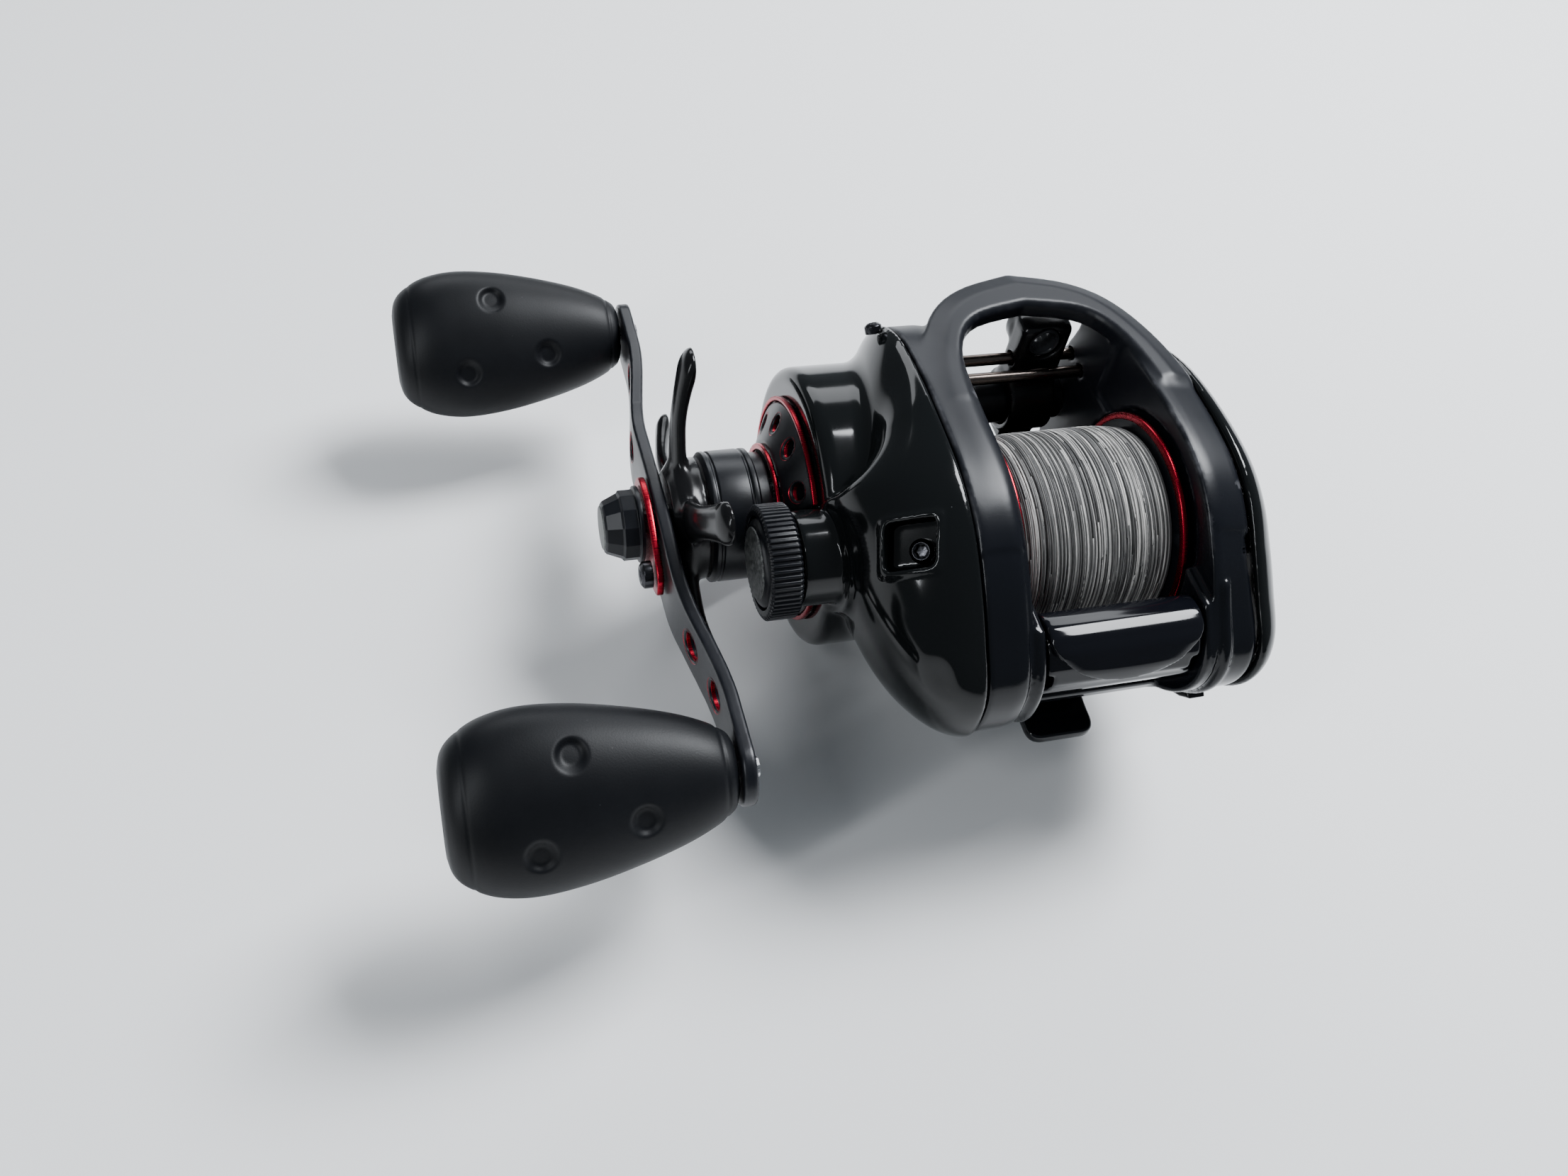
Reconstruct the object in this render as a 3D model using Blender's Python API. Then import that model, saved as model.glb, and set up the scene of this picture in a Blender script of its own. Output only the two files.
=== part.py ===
"""Low-profile baitcasting reel, modelled as separate pieces.

Units here are millimetres and are turned into metres when a mesh is made.
+X runs along the spool axis towards the palm side, so the handle is at -X.
+Y points forward, the way the line leaves, and +Z is up.
The model's origin is the centre of the reel foot's flat underside.  Most pieces
are drawn around the spool axis and shifted from there into place.
"""
import math

import bmesh
import bpy
from mathutils import Matrix, Vector

MM = 0.001

# Driving dimensions
SPOOL_Y = -7.0
SPOOL_Z = 23.7
GAP = 0.3

FLANGE_R = 16.5
FLANGE_IN = 12.0
FLANGE_OUT = 13.2
LINE_R = 15.0
HUB_R = 8.5
SHAFT_R = 1.3

DRIVE_Y = 16.73
DRIVE_Z = -9.0
GEAR_TEETH = 70
PINION_TEETH = 11
DRIVE_SHAFT_R = 3.0
DRIVE_STUB_R = 1.2

WORM_Y = 29.5
WORM_Z = -2.0
WORM_GEAR_TEETH = 13
WORM_DRIVE_TEETH = 27

GUIDE_ROD = (29.5, 7.2)
STAY_ROD = (25.5, 7.1)
ROD_R = 0.95

WALL_IN = 12.4
WALL_FLOOR = 16.2
WALL_OUT = 20.7
COVER_IN = 21.0
COVER_OUT_GEAR = 34.6
COVER_OUT_PALM = 28.4
DOME_R = 21.8
DOME_OUT = 35.7

HOOD_TOP = 20.3
HOOD_UNDER = 17.3

FOOT_REAR = -23.0
FOOT_FRONT = 37.0
FOOT_UNDER = -SPOOL_Z
FOOT_END_WIDTH = 11.0

HANDLE_HALF = 45.8
HANDLE_TILT = math.radians(-4.1)
ARM_HUB_X = -57.9
ARM_END_X = -54.9
ARM_THICK = 2.0
KNOB_NECK_X = -55.2
KNOB_TIP_X = -92.6
KNOB_WIDE = 12.2
KNOB_THIN = 7.8
KNOB_WIDE_ANGLE = math.radians(40.0)

STAR_ARMS = 5
STAR_R = 26.5
STAR_FIRST = math.radians(60.0)

GEAR_CROWN = (4.0, 7.0)
PALM_CROWN = (-5.0, -3.0)
FRONT_SCREW = (-23.4, 28.3, 16.6)
FRONT_SCREW_OUT = (-0.15, 0.6, 0.8)
FORWARD = (0.0, 1.0, 0.0)
UPWARD = (0.0, 0.0, 1.0)
LINE_GUIDE_X = 6.0
GUIDE_EYE_Z = 11.2
SPOOL_AXIS = (0.0, 0.0)
DRIVE_AXIS = (DRIVE_Y, DRIVE_Z)
WORM_AXIS = (WORM_Y, WORM_Z)

MATERIALS = {
    "frame_black": ((0.030, 0.031, 0.036), 0.6, 0.42),
    "cover_black": ((0.006, 0.007, 0.007), 0.0, 0.08),
    "satin_black": ((0.016, 0.017, 0.020), 0.7, 0.35),
    "gloss_black": ((0.005, 0.005, 0.006), 0.0, 0.10),
    "knob_black": ((0.014, 0.015, 0.019), 0.0, 0.60),
    "red_metal": ((0.45, 0.012, 0.025), 1.0, 0.25),
    "steel": ((0.55, 0.55, 0.56), 1.0, 0.28),
    "rod_steel": ((0.13, 0.11, 0.10), 1.0, 0.30),
    "brass": ((0.62, 0.46, 0.20), 1.0, 0.32),
    "aluminium": ((0.60, 0.60, 0.62), 1.0, 0.40),
    "carbon": ((0.03, 0.03, 0.03), 0.0, 0.70),
    "ceramic": ((0.30, 0.31, 0.33), 0.0, 0.15),
    "line_braid": ((0.42, 0.41, 0.40), 0.0, 0.75),
    "magnet": ((0.45, 0.45, 0.47), 1.0, 0.30),
}


# ---------------------------------------------------------------- helpers
def clear_scene():
    for obj in list(bpy.data.objects):
        bpy.data.objects.remove(obj, do_unlink=True)


def material(name):
    found = bpy.data.materials.get(name)
    if found:
        return found
    colour, metallic, roughness = MATERIALS[name]
    made = bpy.data.materials.new(name)
    made.use_nodes = True
    shader = made.node_tree.nodes["Principled BSDF"]
    shader.inputs["Base Color"].default_value = (*colour, 1.0)
    shader.inputs["Metallic"].default_value = metallic
    shader.inputs["Roughness"].default_value = roughness
    return made


def place(name, bm, slot, pivot=(0.0, 0.0, 0.0), smooth=True):
    """Turn a mesh drawn around the spool axis into a placed object.

    pivot is the object's origin, given around the spool axis too."""
    bmesh.ops.recalc_face_normals(bm, faces=bm.faces)
    if bm.calc_volume(signed=True) < 0.0:
        bmesh.ops.reverse_faces(bm, faces=bm.faces)
    shift = Vector(pivot)
    for vert in bm.verts:
        vert.co = (vert.co - shift) * MM
    mesh = bpy.data.meshes.new(name)
    bm.to_mesh(mesh)
    bm.free()
    if smooth:
        mesh.shade_smooth()
        mesh.set_sharp_from_angle(angle=math.radians(32.0))
    obj = bpy.data.objects.new(name, mesh)
    obj.location = Vector((shift.x, shift.y + SPOOL_Y, shift.z + SPOOL_Z)) * MM
    mesh.materials.append(material(slot))
    bpy.context.scene.collection.objects.link(obj)
    return obj


def aimed(obj, direction, centre):
    """Turn a piece drawn along +X at the origin to a direction, and move it to a point."""
    turn = Vector((1.0, 0.0, 0.0)).rotation_difference(Vector(direction).normalized())
    obj.rotation_euler = turn.to_euler()
    obj.location = Vector((centre[0], centre[1] + SPOOL_Y, centre[2] + SPOOL_Z)) * MM
    return obj


def hide(tool):
    tool.hide_render = True
    tool.display_type = "WIRE"


def boolean(obj, tool, operation):
    step = obj.modifiers.new(operation.title(), "BOOLEAN")
    step.operation = operation
    step.solver = "EXACT"
    step.object = tool
    hide(tool)


def cut(obj, *tools):
    for tool in tools:
        boolean(obj, tool, "DIFFERENCE")


def join(obj, *tools):
    for tool in tools:
        boolean(obj, tool, "UNION")


def turned(name, profile, slot, axis=SPOOL_AXIS, steps=24, pivot=None):
    """A closed (x, radius) profile turned about an axis parallel to X."""
    bm = bmesh.new()
    rings = []
    for x, radius in profile:
        if radius < 1e-6:
            rings.append([bm.verts.new((x, axis[0], axis[1]))])
            continue
        ring = []
        for step in range(steps):
            angle = math.tau * step / steps
            y = axis[0] + radius * math.cos(angle)
            z = axis[1] + radius * math.sin(angle)
            ring.append(bm.verts.new((x, y, z)))
        rings.append(ring)
    for index, ring in enumerate(rings):
        other = rings[(index + 1) % len(rings)]
        if len(ring) == 1 and len(other) == 1:
            continue
        for step in range(steps):
            after = (step + 1) % steps
            corners = [ring[step % len(ring)], other[step % len(other)]]
            if len(other) > 1:
                corners.append(other[after])
            if len(ring) > 1:
                corners.append(ring[after])
            bm.faces.new(corners)
    if pivot is None:
        pivot = (0.0, axis[0], axis[1])
    return place(name, bm, slot, pivot)


def rod(name, x0, x1, radius, slot, axis=SPOOL_AXIS, steps=24, pivot=None):
    return turned(name, [(x0, 0.0), (x0, radius), (x1, radius), (x1, 0.0)], slot, axis, steps, pivot)


def tube(name, x0, x1, inner, outer, slot, axis=SPOOL_AXIS, steps=24, pivot=None):
    profile = [(x0, inner), (x0, outer), (x1, outer), (x1, inner)]
    return turned(name, profile, slot, axis, steps, pivot)


def plate(name, outline, x0, x1, slot, holes=(), pivot=(0.0, 0.0, 0.0)):
    """A flat plate across X: a (y, z) outline with holes, from x0 to x1."""
    bm = bmesh.new()
    for loop in [outline, *holes]:
        verts = [bm.verts.new((x0, y, z)) for y, z in loop]
        for index, vert in enumerate(verts):
            bm.edges.new((vert, verts[(index + 1) % len(verts)]))
    bmesh.ops.triangle_fill(bm, use_beauty=True, edges=bm.edges[:])
    raised = bmesh.ops.extrude_face_region(bm, geom=bm.faces[:])
    moved = [item for item in raised["geom"] if isinstance(item, bmesh.types.BMVert)]
    bmesh.ops.translate(bm, verts=moved, vec=(x1 - x0, 0.0, 0.0))
    return place(name, bm, slot, pivot)


def lofted(name, sections, slot, pivot=(0.0, 0.0, 0.0)):
    """Equal closed loops of 3-D points, bridged in order and capped at both ends."""
    bm = bmesh.new()
    rings = [[bm.verts.new(point) for point in section] for section in sections]
    count = len(rings[0])
    for ring, other in zip(rings, rings[1:]):
        for step in range(count):
            after = (step + 1) % count
            bm.faces.new((ring[step], ring[after], other[after], other[step]))
    bm.faces.new(rings[0])
    bm.faces.new(rings[-1])
    return place(name, bm, slot, pivot)


def box(name, low, high, slot, pivot=(0.0, 0.0, 0.0), bevel=0.0):
    bm = bmesh.new()
    bmesh.ops.create_cube(bm, size=1.0)
    size = Vector(high) - Vector(low)
    centre = (Vector(high) + Vector(low)) / 2.0
    bmesh.ops.scale(bm, vec=size, verts=bm.verts)
    bmesh.ops.translate(bm, vec=centre, verts=bm.verts)
    if bevel > 0.0:
        bmesh.ops.bevel(bm, geom=bm.edges[:], offset=bevel, segments=2, affect="EDGES", profile=0.5)
    return place(name, bm, slot, pivot)


def smooth_loop(points, per_span):
    """Closed Catmull-Rom curve through (a, b) points."""
    count = len(points)
    curve = []
    for index in range(count):
        before = Vector(points[index - 1])
        start = Vector(points[index])
        end = Vector(points[(index + 1) % count])
        after = Vector(points[(index + 2) % count])
        for step in range(per_span):
            t = step / per_span
            mid = (end - before) * t
            square = (2.0 * before - 5.0 * start + 4.0 * end - after) * t ** 2
            cube = (3.0 * start - before - 3.0 * end + after) * t ** 3
            curve.append(tuple(start + 0.5 * (mid + square + cube)))
    return curve


def circle(centre, radius, steps=24, start=0.0):
    loop = []
    for step in range(steps):
        angle = start + math.tau * step / steps
        loop.append((centre[0] + radius * math.cos(angle), centre[1] + radius * math.sin(angle)))
    return loop


def gear_outline(axis, teeth, module, first=0.0, tip=0.35, root=0.75, width=0.40):
    """Straight-sided teeth, cut thin and shallow so that a pair runs with clearance."""
    pitch = module * teeth / 2.0
    step = math.tau / teeth
    loop = []
    for tooth in range(teeth):
        middle = first + tooth * step
        for radius, half in (
            (pitch - root * module, -0.30),
            (pitch + tip * module, -width * 0.32),
            (pitch + tip * module, width * 0.32),
            (pitch - root * module, 0.30),
        ):
            angle = middle + half * step
            loop.append((axis[0] + radius * math.cos(angle), axis[1] + radius * math.sin(angle)))
    return loop


def at_x(loop, x):
    return [(x, y, z) for y, z in loop]


# ---------------------------------------------------------------- side outlines
GEAR_SIDE = [
    (-29.3, -2.0), (-28.4, -7.5), (-24.2, -13.2), (-17.2, -18.6), (-9.0, -21.2), (2.0, -21.6),
    (14.0, -21.4), (26.0, -18.6), (33.5, -11.5), (36.0, -2.0), (35.2, 7.6), (31.4, 14.4),
    (25.0, 18.6), (16.0, 20.3), (6.0, 20.7), (-4.0, 20.2), (-11.5, 17.8), (-18.0, 13.4),
    (-23.6, 8.2), (-28.0, 3.2),
]
PALM_SIDE = [
    (-28.6, -1.0), (-27.6, -6.0), (-24.0, -11.4), (-17.5, -16.6), (-9.0, -19.8), (2.0, -20.6),
    (14.0, -20.0), (25.0, -16.6), (32.0, -10.0), (34.6, -1.5), (33.0, 6.5), (29.0, 12.4),
    (24.0, 16.2), (16.0, 19.2), (6.0, 20.4), (-4.0, 20.0), (-11.5, 17.4), (-18.0, 12.6),
    (-23.2, 7.4), (-27.2, 3.2),
]
HOOD_OUTER = [
    (-20.6, 2.0), (-20.5, 12.0), (-18.2, 21.6), (-14.2, 29.0), (-8.4, 33.3), (0.0, 35.7),
    (8.4, 33.3), (14.2, 29.0), (18.2, 21.6), (20.5, 12.0), (20.6, 2.0),
]
HOOD_INNER = [
    (14.8, 1.0), (14.7, 9.0), (12.6, 19.6), (8.9, 25.4), (0.0, 27.9),
    (-8.9, 25.4), (-12.6, 19.6), (-14.7, 9.0), (-14.8, 1.0),
]


def side_loop(points, scale=1.0, crown=(3.0, -0.5)):
    """The smooth side outline, scaled about the crown of that side."""
    loop = []
    for y, z in smooth_loop(points, 2):
        loop.append((crown[0] + (y - crown[0]) * scale, crown[1] + (z - crown[1]) * scale))
    return loop


def side_shell(name, points, crown, sections):
    """A closed crowned body through (x, scale) sections of a side outline."""
    loops = [at_x(side_loop(points, scale, crown), x) for x, scale in sections]
    return lofted(name, loops, "cover_black")


# ---------------------------------------------------------------- frame
def side_wall(name, points, direction):
    """The solid blank of one side plate of the frame."""
    return plate(name, side_loop(points, 0.985), direction * WALL_IN, direction * WALL_OUT, "frame_black")


def side_hollows(points, direction, seat_end):
    """The pocket on a side plate's outer face and the round seat of the spool flange."""
    pocket = plate("wall_pocket", side_loop(points, 0.90), direction * WALL_FLOOR,
                   direction * (WALL_OUT + 1.0), "frame_black")
    seat = rod("flange_seat", direction * (WALL_IN - 1.0), direction * seat_end,
               FLANGE_R + 0.6, "frame_black", steps=40)
    return [pocket, seat]


def hood():
    """The horseshoe-shaped front visor with its legs."""
    bm = bmesh.new()
    loop = HOOD_OUTER + HOOD_INNER
    low = 8.0
    verts = [bm.verts.new((x, y, low)) for x, y in loop]
    face = bm.faces.new(verts)
    raised = bmesh.ops.extrude_face_region(bm, geom=[face])
    moved = [item for item in raised["geom"] if isinstance(item, bmesh.types.BMVert)]
    bmesh.ops.translate(bm, verts=moved, vec=(0.0, 0.0, HOOD_TOP - low))
    visor = place("hood_block", bm, "frame_black", smooth=False)
    window = box("hood_window", (-WALL_IN - 0.15, 14.0, 4.0), (WALL_IN + 0.15, 42.0, HOOD_UNDER),
                 "frame_black")
    cut(visor, window)
    return visor


def foot():
    """The foot plate that a rod's reel seat clamps, with its pedestal."""
    half = FOOT_END_WIDTH / 2.0
    middle = (FOOT_REAR + FOOT_FRONT) / 2.0
    plan = [
        (-half + 1.5, FOOT_REAR), (half - 1.5, FOOT_REAR), (half, FOOT_REAR + 1.5),
        (half + 0.4, middle - 16.0), (half + 1.6, middle), (half + 0.4, middle + 16.0),
        (half, FOOT_FRONT - 1.5), (half - 1.5, FOOT_FRONT), (-half + 1.5, FOOT_FRONT),
        (-half, FOOT_FRONT - 1.5), (-half - 0.4, middle + 16.0), (-half - 1.6, middle),
        (-half - 0.4, middle - 16.0), (-half, FOOT_REAR + 1.5),
    ]
    bm = bmesh.new()
    face = bm.faces.new([bm.verts.new((x, y, FOOT_UNDER)) for x, y in plan])
    raised = bmesh.ops.extrude_face_region(bm, geom=[face])
    for item in raised["geom"]:
        if isinstance(item, bmesh.types.BMVert):
            reach = abs(item.co.y - middle) / 30.0
            item.co.z += 3.0 - 1.2 * reach
    return place("foot_plate", bm, "frame_black", smooth=False)


def frame():
    body = side_wall("frame", GEAR_SIDE, -1.0)
    far = side_wall("frame_palm_wall", PALM_SIDE, 1.0)
    floor = box("frame_floor", (-13.0, -15.0, -20.2), (13.0, 30.0, -17.5), "frame_black")
    rear = plate("frame_rear", [
        (-22.4, -10.6), (-21.6, -13.4), (-18.2, -19.2), (-16.8, -20.0), (-8.0, -20.0), (-8.0, -18.2),
        (-13.0, -15.0), (-17.2, -10.6)], -13.0, 13.0, "frame_black")
    front = box("frame_front", (-13.0, 22.5, -19.8), (13.0, 30.2, -10.8), "frame_black", bevel=1.2)
    pedestal = box("foot_pedestal", (-6.2, -12.0, -22.2), (6.2, 24.0, -18.2), "frame_black")
    join(body, far, floor, rear, front, hood(), foot(), pedestal)
    tools = side_hollows(GEAR_SIDE, -1.0, 13.6) + side_hollows(PALM_SIDE, 1.0, WALL_OUT + 1.0)
    tools += [
        rod("bearing_bore_left", -18.0, -13.0, 5.3, "frame_black"),
        rod("drive_bore", -18.0, -12.0, 3.3, "frame_black", DRIVE_AXIS),
        rod("worm_bore_left", -18.0, -11.0, 1.6, "frame_black", WORM_AXIS),
        rod("worm_gear_pocket", -22.0, -WALL_FLOOR, 5.2, "frame_black", WORM_AXIS),
        rod("worm_drive_pocket", -22.0, -WALL_FLOOR, 10.5, "frame_black", DRIVE_AXIS),
        rod("worm_bore_right", 11.0, 14.6, 1.6, "frame_black", WORM_AXIS),
        rod("guide_rod_bore", -14.4, 14.4, ROD_R + GAP, "frame_black", GUIDE_ROD, 16),
        rod("stay_rod_bore", -14.4, 14.4, ROD_R + GAP, "frame_black", STAY_ROD, 16),
        box("cam_slot", (-17.0, -25.2, -8.6), (-11.0, -21.6, -0.4), "frame_black"),
        rod("post_bore_top", -18.0, -14.2, 1.1, "frame_black", (-1.0, 8.5), 16),
        rod("post_bore_bottom", -18.0, -14.2, 1.1, "frame_black", (-1.0, -8.5), 16),
    ]
    cut(body, *tools)
    return body


def fixed_rods():
    rod("guide_rod", -14.0, 14.0, ROD_R, "rod_steel", GUIDE_ROD, 16)
    rod("stay_rod", -14.0, 14.0, ROD_R, "rod_steel", STAY_ROD, 16)
    rod("yoke_post_top", -23.4, -14.5, 0.8, "steel", (-1.0, 8.5), 12)
    rod("yoke_post_bottom", -23.4, -14.5, 0.8, "steel", (-1.0, -8.5), 12)
    tube("spool_bearing_gear_side", -16.0, -13.9, SHAFT_R + GAP, 5.0, "steel")
    tube("spool_bearing_palm_side", 21.6, 23.8, SHAFT_R + GAP, 5.0, "steel")
    tube("drive_bearing", -16.1, -13.2, DRIVE_STUB_R + GAP, 3.0, "brass", DRIVE_AXIS, 24)


# ---------------------------------------------------------------- covers
def gear_cover():
    """Handle-side cover: a crowned shell with a round dome around the drive axis."""
    shell = side_shell("gear_side_cover", GEAR_SIDE, GEAR_CROWN, (
        (-COVER_IN, 1.0), (-24.4, 0.965), (-27.4, 0.88), (-30.4, 0.76), (-32.8, 0.62),
        (-COVER_OUT_GEAR, 0.45)))
    dome = turned("gear_dome", [
        (-COVER_IN - 0.3, 0.0), (-COVER_IN - 0.3, DOME_R - 2.4), (-24.5, DOME_R), (-33.6, DOME_R),
        (-35.2, DOME_R - 0.9), (-DOME_OUT, DOME_R - 2.2), (-DOME_OUT, 0.0),
    ], "cover_black", DRIVE_AXIS, 44)
    boss = turned("cast_control_boss", [
        (-30.0, 0.0), (-30.0, 8.6), (-34.9, 8.2), (-35.7, 6.9), (-40.7, 6.9), (-40.7, 0.0),
    ], "cover_black", SPOOL_AXIS, 32)
    join(shell, dome, boss)
    hollow = side_shell("gear_cover_hollow", GEAR_SIDE, GEAR_CROWN, (
        (-COVER_IN + 1.0, 0.90), (-24.0, 0.87), (-26.6, 0.79), (-29.2, 0.67), (-31.0, 0.54)))
    cut(hollow, box("recess_backing", (-36.0, -24.0, 6.6), (-26.0, -6.6, 24.0), "cover_black"))
    dome_hollow = turned("gear_dome_hollow", [
        (-19.8, 0.0), (-19.8, 17.6), (-22.4, 17.6), (-24.8, DOME_R - 2.0), (-33.6, DOME_R - 2.0),
        (-33.6, 0.0),
    ], "cover_black", DRIVE_AXIS, 44)
    cut(shell, hollow, dome_hollow)
    join(shell, rod("one_way_boss", -34.4, -30.4, 10.2, "cover_black", DRIVE_AXIS))
    bore = rod("drive_hole", -37.0, -30.0, 8.3, "cover_black", DRIVE_AXIS)
    shaft_hole = rod("spool_shaft_hole", -42.0, -30.0, 4.3, "cover_black")
    pocket = box("screw_recess", (-34.0, -18.0, 9.2), (-28.4, -8.6, 26.0), "cover_black", bevel=1.0)
    seat = aimed(rod("front_screw_seat", -0.9, 4.0, 1.6, "cover_black", steps=16),
                 FRONT_SCREW_OUT, FRONT_SCREW)
    cut(shell, bore, shaft_hole, pocket, seat)
    return shell


def palm_cover():
    shell = side_shell("palm_side_cover", PALM_SIDE, PALM_CROWN, (
        (COVER_IN, 1.0), (23.6, 0.94), (25.8, 0.82), (27.5, 0.66), (COVER_OUT_PALM, 0.48)))
    hollow = side_shell("palm_hollow", PALM_SIDE, PALM_CROWN, (
        (COVER_IN - 1.0, 0.90), (23.0, 0.86), (25.0, 0.75), (26.2, 0.62)))
    cut(hollow, rod("palm_boss", 19.0, 28.0, 7.0, "cover_black"))
    cut(shell, hollow)
    cut(shell, rod("palm_bearing_bore", 20.0, 26.0, 5.3, "cover_black"))
    cut(shell, rod("dial_stem_hole", 25.0, 30.0, 2.3, "cover_black", steps=24))
    return shell


def drag_cover():
    """The conical perforated ring around the drag sleeve, with its two red trims."""
    ring = turned("drag_cover_ring", [
        (-36.0, 8.9), (-37.2, 8.9), (-39.4, 9.9), (-39.4, 10.9), (-36.6, 16.6), (-36.0, 16.6),
    ], "satin_black", DRIVE_AXIS, 36)
    for index in range(12):
        angle = math.tau * index / 12.0
        axis = (DRIVE_Y + 13.9 * math.cos(angle), DRIVE_Z + 13.9 * math.sin(angle))
        cut(ring, rod("ring_hole_%02d" % index, -40.0, -35.0, 1.15, "red_metal", axis, 6))
    trim = tube("drag_trim_outer", -36.7, -36.0, 16.9, 17.5, "red_metal", DRIVE_AXIS, 36)
    boss_clearance = rod("boss_clearance", -42.0, -35.0, 7.3, "satin_black")
    cut(ring, boss_clearance)
    cut(trim, boss_clearance)
    tube("drag_trim_inner", -40.2, -39.7, 9.7, 10.6, "red_metal", DRIVE_AXIS, 32)


def cover_screws():
    turned("cover_screw_rear", [
        (-30.2, 0.0), (-30.2, 1.1), (-29.8, 1.7), (-28.8, 1.7), (-28.8, 0.0)], "steel", (-12.6, 12.8), 20)
    screw = turned("cover_screw_front", [
        (-0.6, 0.0), (-0.6, 1.3), (0.5, 1.3), (0.9, 0.8), (0.9, 0.0)], "steel", SPOOL_AXIS, 16)
    aimed(screw, FRONT_SCREW_OUT, FRONT_SCREW)


# ---------------------------------------------------------------- spool
def spool():
    turned("spool", [
        (-FLANGE_OUT, 7.2), (-FLANGE_OUT, FLANGE_R), (-FLANGE_IN, FLANGE_R), (-FLANGE_IN, HUB_R),
        (FLANGE_IN, HUB_R), (FLANGE_IN, FLANGE_R), (FLANGE_OUT, FLANGE_R), (FLANGE_OUT, 7.2),
        (1.0, 7.2), (1.0, 2.2), (-1.0, 2.2), (-1.0, 7.2),
    ], "satin_black", SPOOL_AXIS, 36)
    turned("line_pack", [
        (-11.7, HUB_R + GAP), (-11.7, LINE_R - 0.4), (-6.0, LINE_R), (6.0, LINE_R),
        (11.7, LINE_R - 0.4), (11.7, HUB_R + GAP),
    ], "line_braid", SPOOL_AXIS, 36)
    shaft = turned("spool_shaft", [
        (-43.4, 0.0), (-43.4, SHAFT_R), (-8.0, SHAFT_R), (-6.5, 1.9), (6.5, 1.9), (8.0, SHAFT_R),
        (25.4, SHAFT_R), (25.4, 0.0),
    ], "steel", SPOOL_AXIS, 24)
    join(shaft, box("cross_pin", (-18.3, -0.4, -2.6), (-17.6, 0.4, 2.6), "steel"))
    tube("brake_rotor", 13.6, 18.6, 10.4, 11.2, "aluminium", SPOOL_AXIS, 32)


# ---------------------------------------------------------------- gear train
def pinion():
    module = 2.0 * 19.0 / (GEAR_TEETH + PINION_TEETH)
    mesh_angle = math.atan2(DRIVE_Z, DRIVE_Y)
    first = mesh_angle + math.pi / PINION_TEETH
    teeth = plate("pinion_gear", gear_outline(SPOOL_AXIS, PINION_TEETH, module, first),
                  -27.0, -22.1, "brass")
    body = turned("pinion_body", [
        (-22.25, 0.0), (-22.25, 3.05), (-22.0, 3.05), (-22.0, 2.3), (-21.0, 2.3), (-21.0, 3.3),
        (-20.3, 3.3), (-20.3, 2.2), (-18.9, 2.2), (-18.9, 3.3), (-17.6, 3.3), (-17.6, 0.0),
    ], "brass", SPOOL_AXIS, 20)
    join(teeth, body, rod("pinion_tail", -28.6, -26.5, 2.0, "brass", steps=20))
    cut(teeth, rod("pinion_bore", -30.0, -16.0, SHAFT_R + 0.28, "brass", steps=20))
    cut(teeth, box("pinion_slot", (-19.0, -0.75, -4.0), (-17.0, 0.75, 4.0), "brass"))


def main_gear():
    module = 2.0 * 19.0 / (GEAR_TEETH + PINION_TEETH)
    first = math.atan2(-DRIVE_Z, -DRIVE_Y)
    plate("main_gear", gear_outline(DRIVE_AXIS, GEAR_TEETH, module, first), -26.2, -23.8, "brass",
          [circle(DRIVE_AXIS, DRIVE_SHAFT_R + GAP)], (0.0, *DRIVE_AXIS))


def drive_stack():
    """Everything on the drive shaft behind the sleeve, from the frame outwards."""
    turned("drive_shaft", [
        (-62.6, 0.0), (-62.6, 2.3), (-56.0, 2.3), (-55.6, DRIVE_SHAFT_R), (-16.5, DRIVE_SHAFT_R),
        (-16.5, DRIVE_STUB_R), (-12.9, DRIVE_STUB_R), (-12.9, 0.0),
    ], "steel", DRIVE_AXIS, 24)
    inner = DRIVE_SHAFT_R + GAP
    teeth = []
    for tooth in range(12):
        angle = math.tau * tooth / 12.0
        for radius, turn in ((10.0, 0.0), (8.2, 0.06)):
            spin = angle + turn
            teeth.append((DRIVE_Y + radius * math.cos(spin), DRIVE_Z + radius * math.sin(spin)))
    plate("ratchet_wheel", teeth, -22.4, -21.3, "steel", [circle(DRIVE_AXIS, inner)], (0.0, *DRIVE_AXIS))
    tube("drag_washer_inner", -23.5, -22.7, inner, 13.5, "carbon", DRIVE_AXIS)
    tube("drag_washer_outer", -27.3, -26.5, inner, 13.5, "carbon", DRIVE_AXIS)
    tube("drag_pressure_plate", -28.9, -27.6, inner, 13.0, "steel", DRIVE_AXIS)
    turned("drag_spring_washer", [
        (-29.8, inner), (-30.1, inner), (-29.6, 5.0), (-29.2, 5.0)], "steel", DRIVE_AXIS, 24)
    tube("one_way_bearing", -35.2, -30.6, 5.5, 8.0, "steel", DRIVE_AXIS)
    tube("one_way_sleeve", -40.0, -30.5, inner, 5.2, "steel", DRIVE_AXIS)
    turned("drag_sleeve", [
        (-50.0, inner), (-50.0, 9.5), (-49.4, 10.1), (-42.4, 10.1), (-42.2, 9.3), (-40.5, 9.3),
        (-40.5, inner),
    ], "satin_black", DRIVE_AXIS, 32)


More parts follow.
